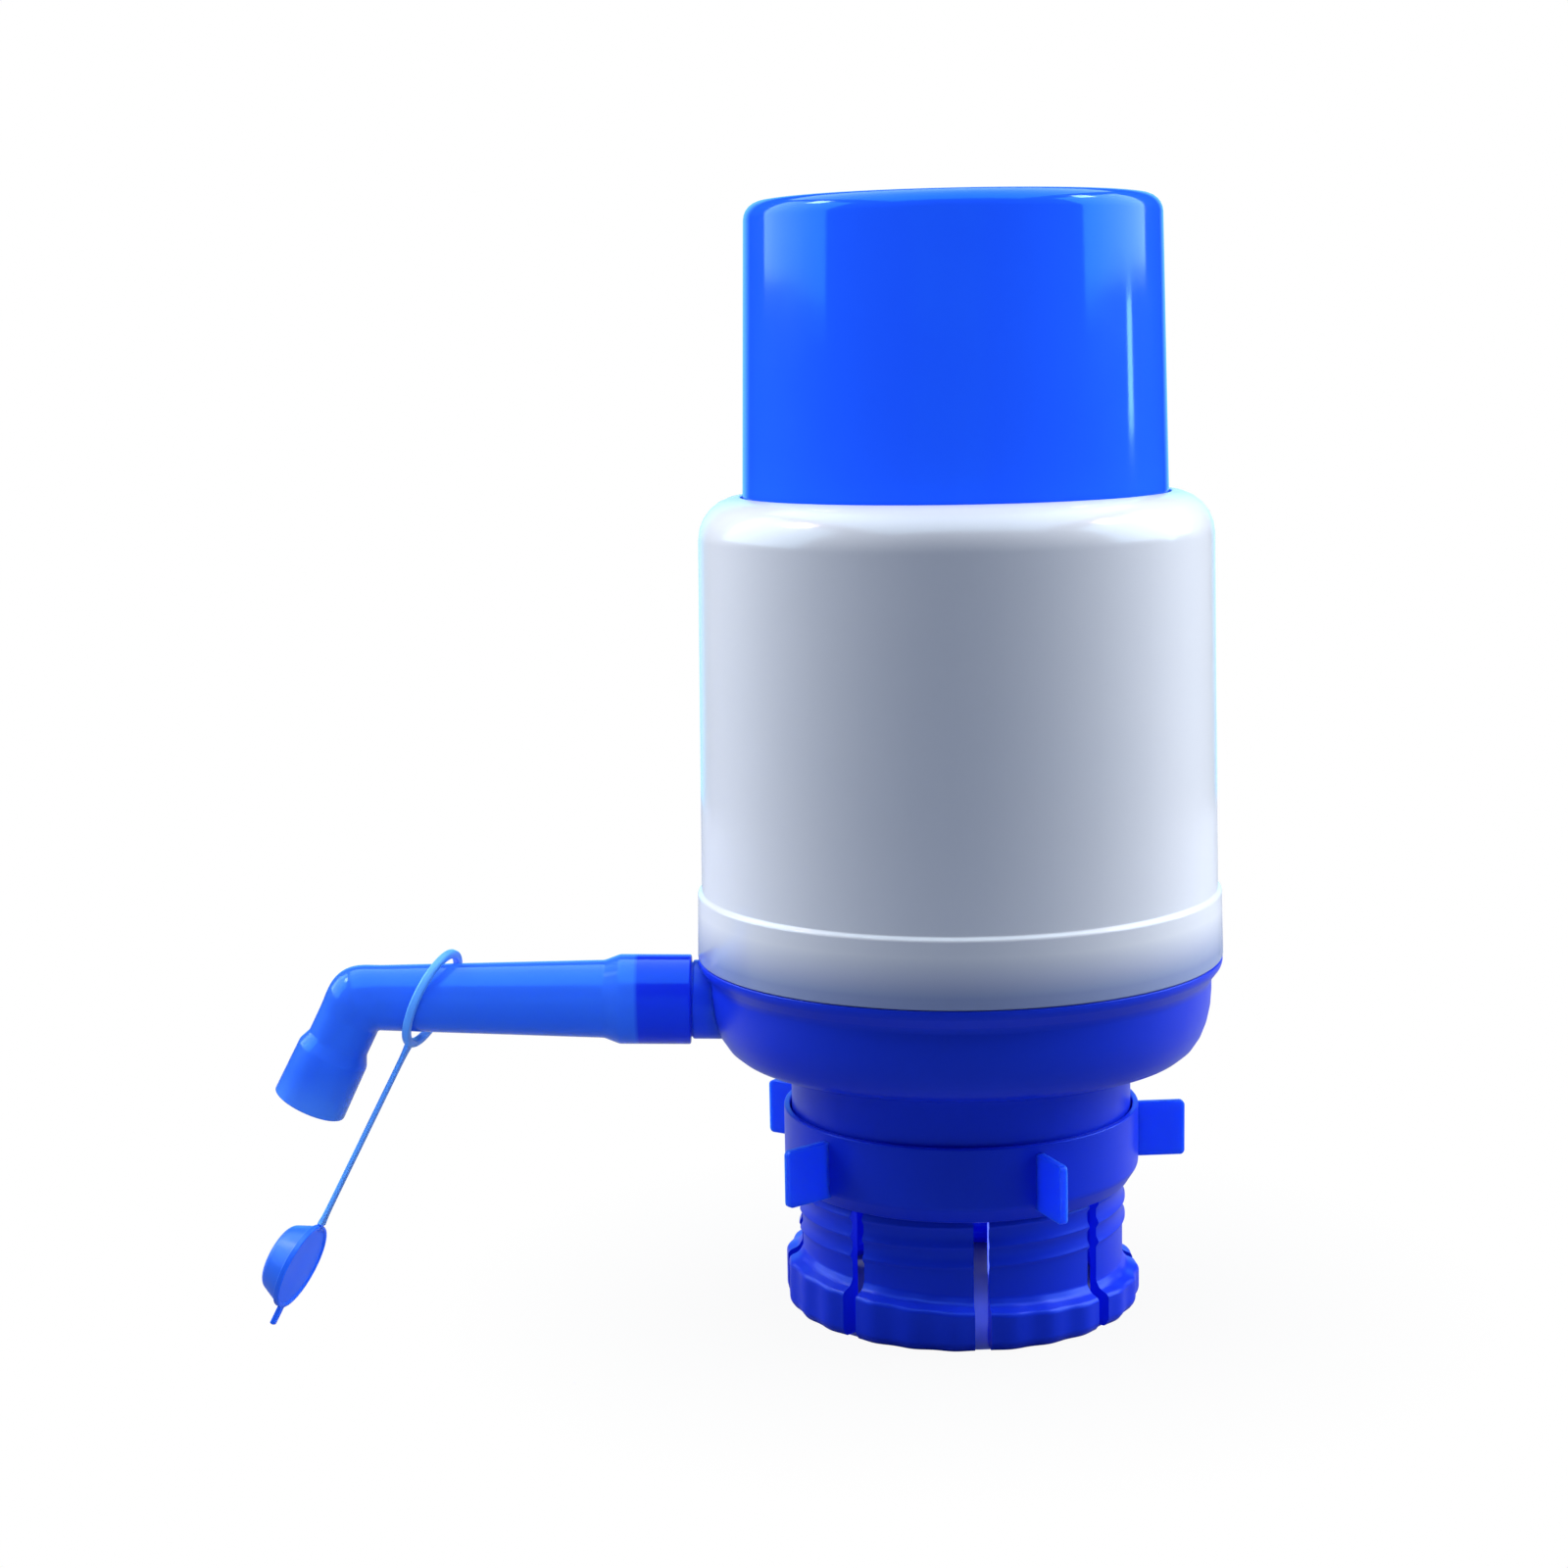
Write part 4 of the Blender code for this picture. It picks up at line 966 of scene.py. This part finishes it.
# %% Camera
camera_data = bpy.data.cameras.new("camera")
camera_data.lens = 63.53
camera_data.sensor_width = 36
camera_at = (pump_x - 31.72 * MM, -499.8 * MM, 176.36 * MM)
camera_tilt = math.radians(81.012)
camera_roll = math.radians(-1.108)
camera = bpy.data.objects.new("camera", camera_data)
bpy.context.scene.collection.objects.link(camera)
camera.matrix_world = (Matrix.Translation(camera_at) @ Matrix.Rotation(camera_tilt, 4, "X")
                       @ Matrix.Rotation(camera_roll, 4, "Z"))
bpy.context.scene.camera = camera

# %% [markdown]
# The photo has two tall softboxes at the sides and one above, and it is dark in front: the middle
# of each round piece is darker than its flanks. A softbox lights a piece and is also mirrored in
# its gloss, and the two effects need different strengths here. So each box is two lamps: one that
# only lights, made invisible to gloss, and a panel that is only mirrored.

# %% Lights
def softbox(name, place, target, width, height, power):
    """A rectangular lamp at a place, facing a target."""
    data = bpy.data.lights.new(name, "AREA")
    data.shape = "RECTANGLE"
    data.size = width
    data.size_y = height
    data.energy = power
    lamp = bpy.data.objects.new(name, data)
    bpy.context.scene.collection.objects.link(lamp)
    lamp.location = place
    lamp.rotation_euler = (Vector(target) - Vector(place)).to_track_quat("-Z", "Y").to_euler()
    print("%s: %.2f W" % (name, power))
    return lamp


def round_the_pump(azimuth, distance, height):
    """A place by its angle from the front, positive towards +X."""
    turn = math.radians(azimuth)
    return (pump_x + distance * math.sin(turn), -distance * math.cos(turn), height)


middle = (pump_x, 0, 0.13)
keys = [softbox("left_key", round_the_pump(-114, 0.8, 0.5), middle, 0.8, 0.66, 10.6),
        softbox("right_key", round_the_pump(104, 0.8, 0.5), middle, 0.8, 0.66, 12.0),
        softbox("top_key", (pump_x, -0.1, 1.0), middle, 0.9, 0.8, 6.8)]

# %% [markdown]
# Light that passes through the thinner plastics makes them brighter from the front than the side
# boxes alone would. Two fills stand for it. Light linking lets each reach only the pieces in its
# collection, so the white casing and the dark base stay as they are.

# %% Fills
def only_for(lamp, tint, *names):
    """Colours a fill and limits it to a few pieces."""
    pieces = bpy.data.collections.new(lamp.name + "_pieces")
    for name in names:
        pieces.objects.link(made_pieces[name])
    lamp.light_linking.receiver_collection = pieces
    lamp.data.color = colour(tint)[:3]


front_fill = softbox("front_fill", round_the_pump(-6, 1.2, 0.18), middle, 0.8, 0.6, 8.8)
only_for(front_fill, "bcc4ff", "press_cap_shell", "spout_tube", "leash_ring_loop",
         "leash_strap_band", "pump_base_port", "clamp_ring_wings")
leash_fill = softbox("leash_fill", round_the_pump(35, 1.2, 0.1), (-0.08, 0, 0.02), 0.6, 0.5, 13.5)
only_for(leash_fill, "acd0ff", "dust_cap_disc")
for lamp in [*keys, front_fill, leash_fill]:
    lamp.visible_glossy = False

# %% [markdown]
# The panels are the reflections: a tall one at each side, the ceiling in the top of the cap and
# the shoulder, and a small one that draws the narrow bright line at the cap's right. Each side box
# has a hot spot high up, warmer and stronger, that shows as a glint on the cap's rim and the
# shoulder.

# %% Panels
panels = [softbox("left_panel", round_the_pump(-100, 0.8, 0.53), middle, 0.9, 0.66, 6.1),
          softbox("right_panel", round_the_pump(96, 0.8, 0.53), middle, 0.92, 0.66, 7.4),
          softbox("strip", round_the_pump(103, 0.8, 0.186), (pump_x, 0, 0.186), 0.06, 0.06, 0.11),
          softbox("ceiling", (pump_x, 0.1, 1.0), (pump_x, 0.1, 0), 1.2, 1.6, 18.0)]
bulbs = [softbox(name, round_the_pump(azimuth, 0.7, 0.85), (pump_x, 0, 0.2), 0.2, 0.14, 1.9)
         for name, azimuth in (("left_bulb", -99.5), ("right_bulb", 90.0))]
for group, tint in ((panels, "c4e8ff"), (bulbs, "ffd9d0")):
    for lamp in group:
        lamp.visible_diffuse = False
        lamp.data.color = colour(tint)[:3]

# %% [markdown]
# A small lamp inside the collet stands for the light that comes in through its translucent claws.
# It shows in the front slot and round the nipple.

# %% Glow in the collet
glow_data = bpy.data.lights.new("glow_in_collet", "POINT")
glow_data.energy = 0.012
glow_data.shadow_soft_size = 0.006
glow_data.color = colour("5c70ff")[:3]
glow = bpy.data.objects.new("glow_in_collet", glow_data)
bpy.context.scene.collection.objects.link(glow)
glow.location = (pump_x, -0.012, 0.013)

# %% [markdown]
# The world is white to the camera, also through the clear spout, and a faint blue light to every
# surface, so the plastics keep their contrast. Gloss sees only the cyan wall straight behind the
# pump, which draws the bright line along each outline.

# %% World
wall_starts = 0.86
wall_full = 0.95
wall_strength = 1.3
ambient_strength = 0.13
world = bpy.data.worlds.new("studio")
bpy.context.scene.world = world
world.use_nodes = True
tree = world.node_tree
tree.nodes.clear()
path = add(tree, "ShaderNodeLightPath").outputs
way = add(tree, "ShaderNodeSeparateXYZ", {0: add(tree, "ShaderNodeTexCoord").outputs["Generated"]})
wall = add(tree, "ShaderNodeMapRange", {
    "Value": way.outputs["Y"], "From Min": wall_starts, "From Max": wall_full,
    "To Min": 0.0, "To Max": wall_strength})
shine = add(tree, "ShaderNodeMath", {0: path["Is Glossy Ray"], 1: wall.outputs["Result"]},
            operation="MULTIPLY")
seen = add(tree, "ShaderNodeMath", {0: path["Is Camera Ray"], 1: path["Is Transmission Ray"]},
           operation="MAXIMUM")
soft = add(tree, "ShaderNodeMath", {0: path["Is Diffuse Ray"], 1: ambient_strength},
           operation="MULTIPLY")
studio = add(tree, "ShaderNodeBackground", {"Color": colour("78d0ff"),
                                            "Strength": shine.outputs[0]})
ambient = add(tree, "ShaderNodeBackground", {"Color": colour("a4c4ff"),
                                             "Strength": soft.outputs[0]})
backdrop = add(tree, "ShaderNodeBackground", {"Color": (1, 1, 1, 1), "Strength": seen.outputs[0]})
both = add(tree, "ShaderNodeAddShader", {0: ambient.outputs[0], 1: backdrop.outputs[0]})
all_three = add(tree, "ShaderNodeAddShader", {0: both.outputs[0], 1: studio.outputs[0]})
add(tree, "ShaderNodeOutputWorld", {"Surface": all_three.outputs[0]})

# %% [markdown]
# The floor is a disc that belongs to the studio and not to the pump. It keeps a faint soft shadow
# round the pump, which fades into the white background well before the disc's edge, and under the
# collet it is plain matt. Seen from below it is transparent, so that the collet shows.

# %% Floor
floor_radius = 0.6
under_collet = 0.031
fade_from = 0.034
fade_to = 0.1
floor_mesh = bmesh.new()
bmesh.ops.create_circle(floor_mesh, cap_ends=True, segments=fine_steps, radius=floor_radius,
                        matrix=Matrix.Translation((pump_x, 0, 0)))
floor_data = bpy.data.meshes.new("floor")
floor_mesh.to_mesh(floor_data)
floor_mesh.free()
floor = bpy.data.objects.new("floor", floor_data)
bpy.context.scene.collection.objects.link(floor)
pale = bpy.data.materials.new("pale_floor")
pale.use_nodes = True
tree = pale.node_tree
tree.nodes.clear()
path = add(tree, "ShaderNodeLightPath").outputs
matt = add(tree, "ShaderNodeBsdfDiffuse", {"Color": colour("888e9a")})
white = add(tree, "ShaderNodeEmission", {"Color": (1, 1, 1, 1), "Strength": 1.0})
spot = add(tree, "ShaderNodeTexCoord").outputs["Object"]
away = add(tree, "ShaderNodeVectorMath", {0: spot, 1: (pump_x, 0, 0)}, operation="DISTANCE")
fade = add(tree, "ShaderNodeMapRange", {
    "Value": away.outputs["Value"], "From Min": fade_from, "From Max": fade_to,
    "To Min": 0.94, "To Max": 1.0})
outside_collet = add(tree, "ShaderNodeMath", {0: away.outputs["Value"], 1: under_collet},
                     operation="GREATER_THAN")
open_floor = add(tree, "ShaderNodeMath", {0: fade.outputs["Result"], 1: outside_collet.outputs[0]},
                 operation="MULTIPLY")
bright = add(tree, "ShaderNodeMath", {0: path["Is Camera Ray"], 1: open_floor.outputs[0]},
             operation="MULTIPLY")
floor_mix = add(tree, "ShaderNodeMixShader", {0: bright.outputs[0], 1: matt.outputs[0],
                                              2: white.outputs[0]})
below = add(tree, "ShaderNodeNewGeometry").outputs["Backfacing"]
nothing = add(tree, "ShaderNodeBsdfTransparent").outputs[0]
one_way = add(tree, "ShaderNodeMixShader", {0: below, 1: floor_mix.outputs[0], 2: nothing})
add(tree, "ShaderNodeOutputMaterial", {"Surface": one_way.outputs[0]})
floor_data.materials.append(pale)

# %% [markdown]
# Colours are shown as they are, with no film look.

# %% Finish
bpy.context.scene.view_settings.view_transform = "Standard"
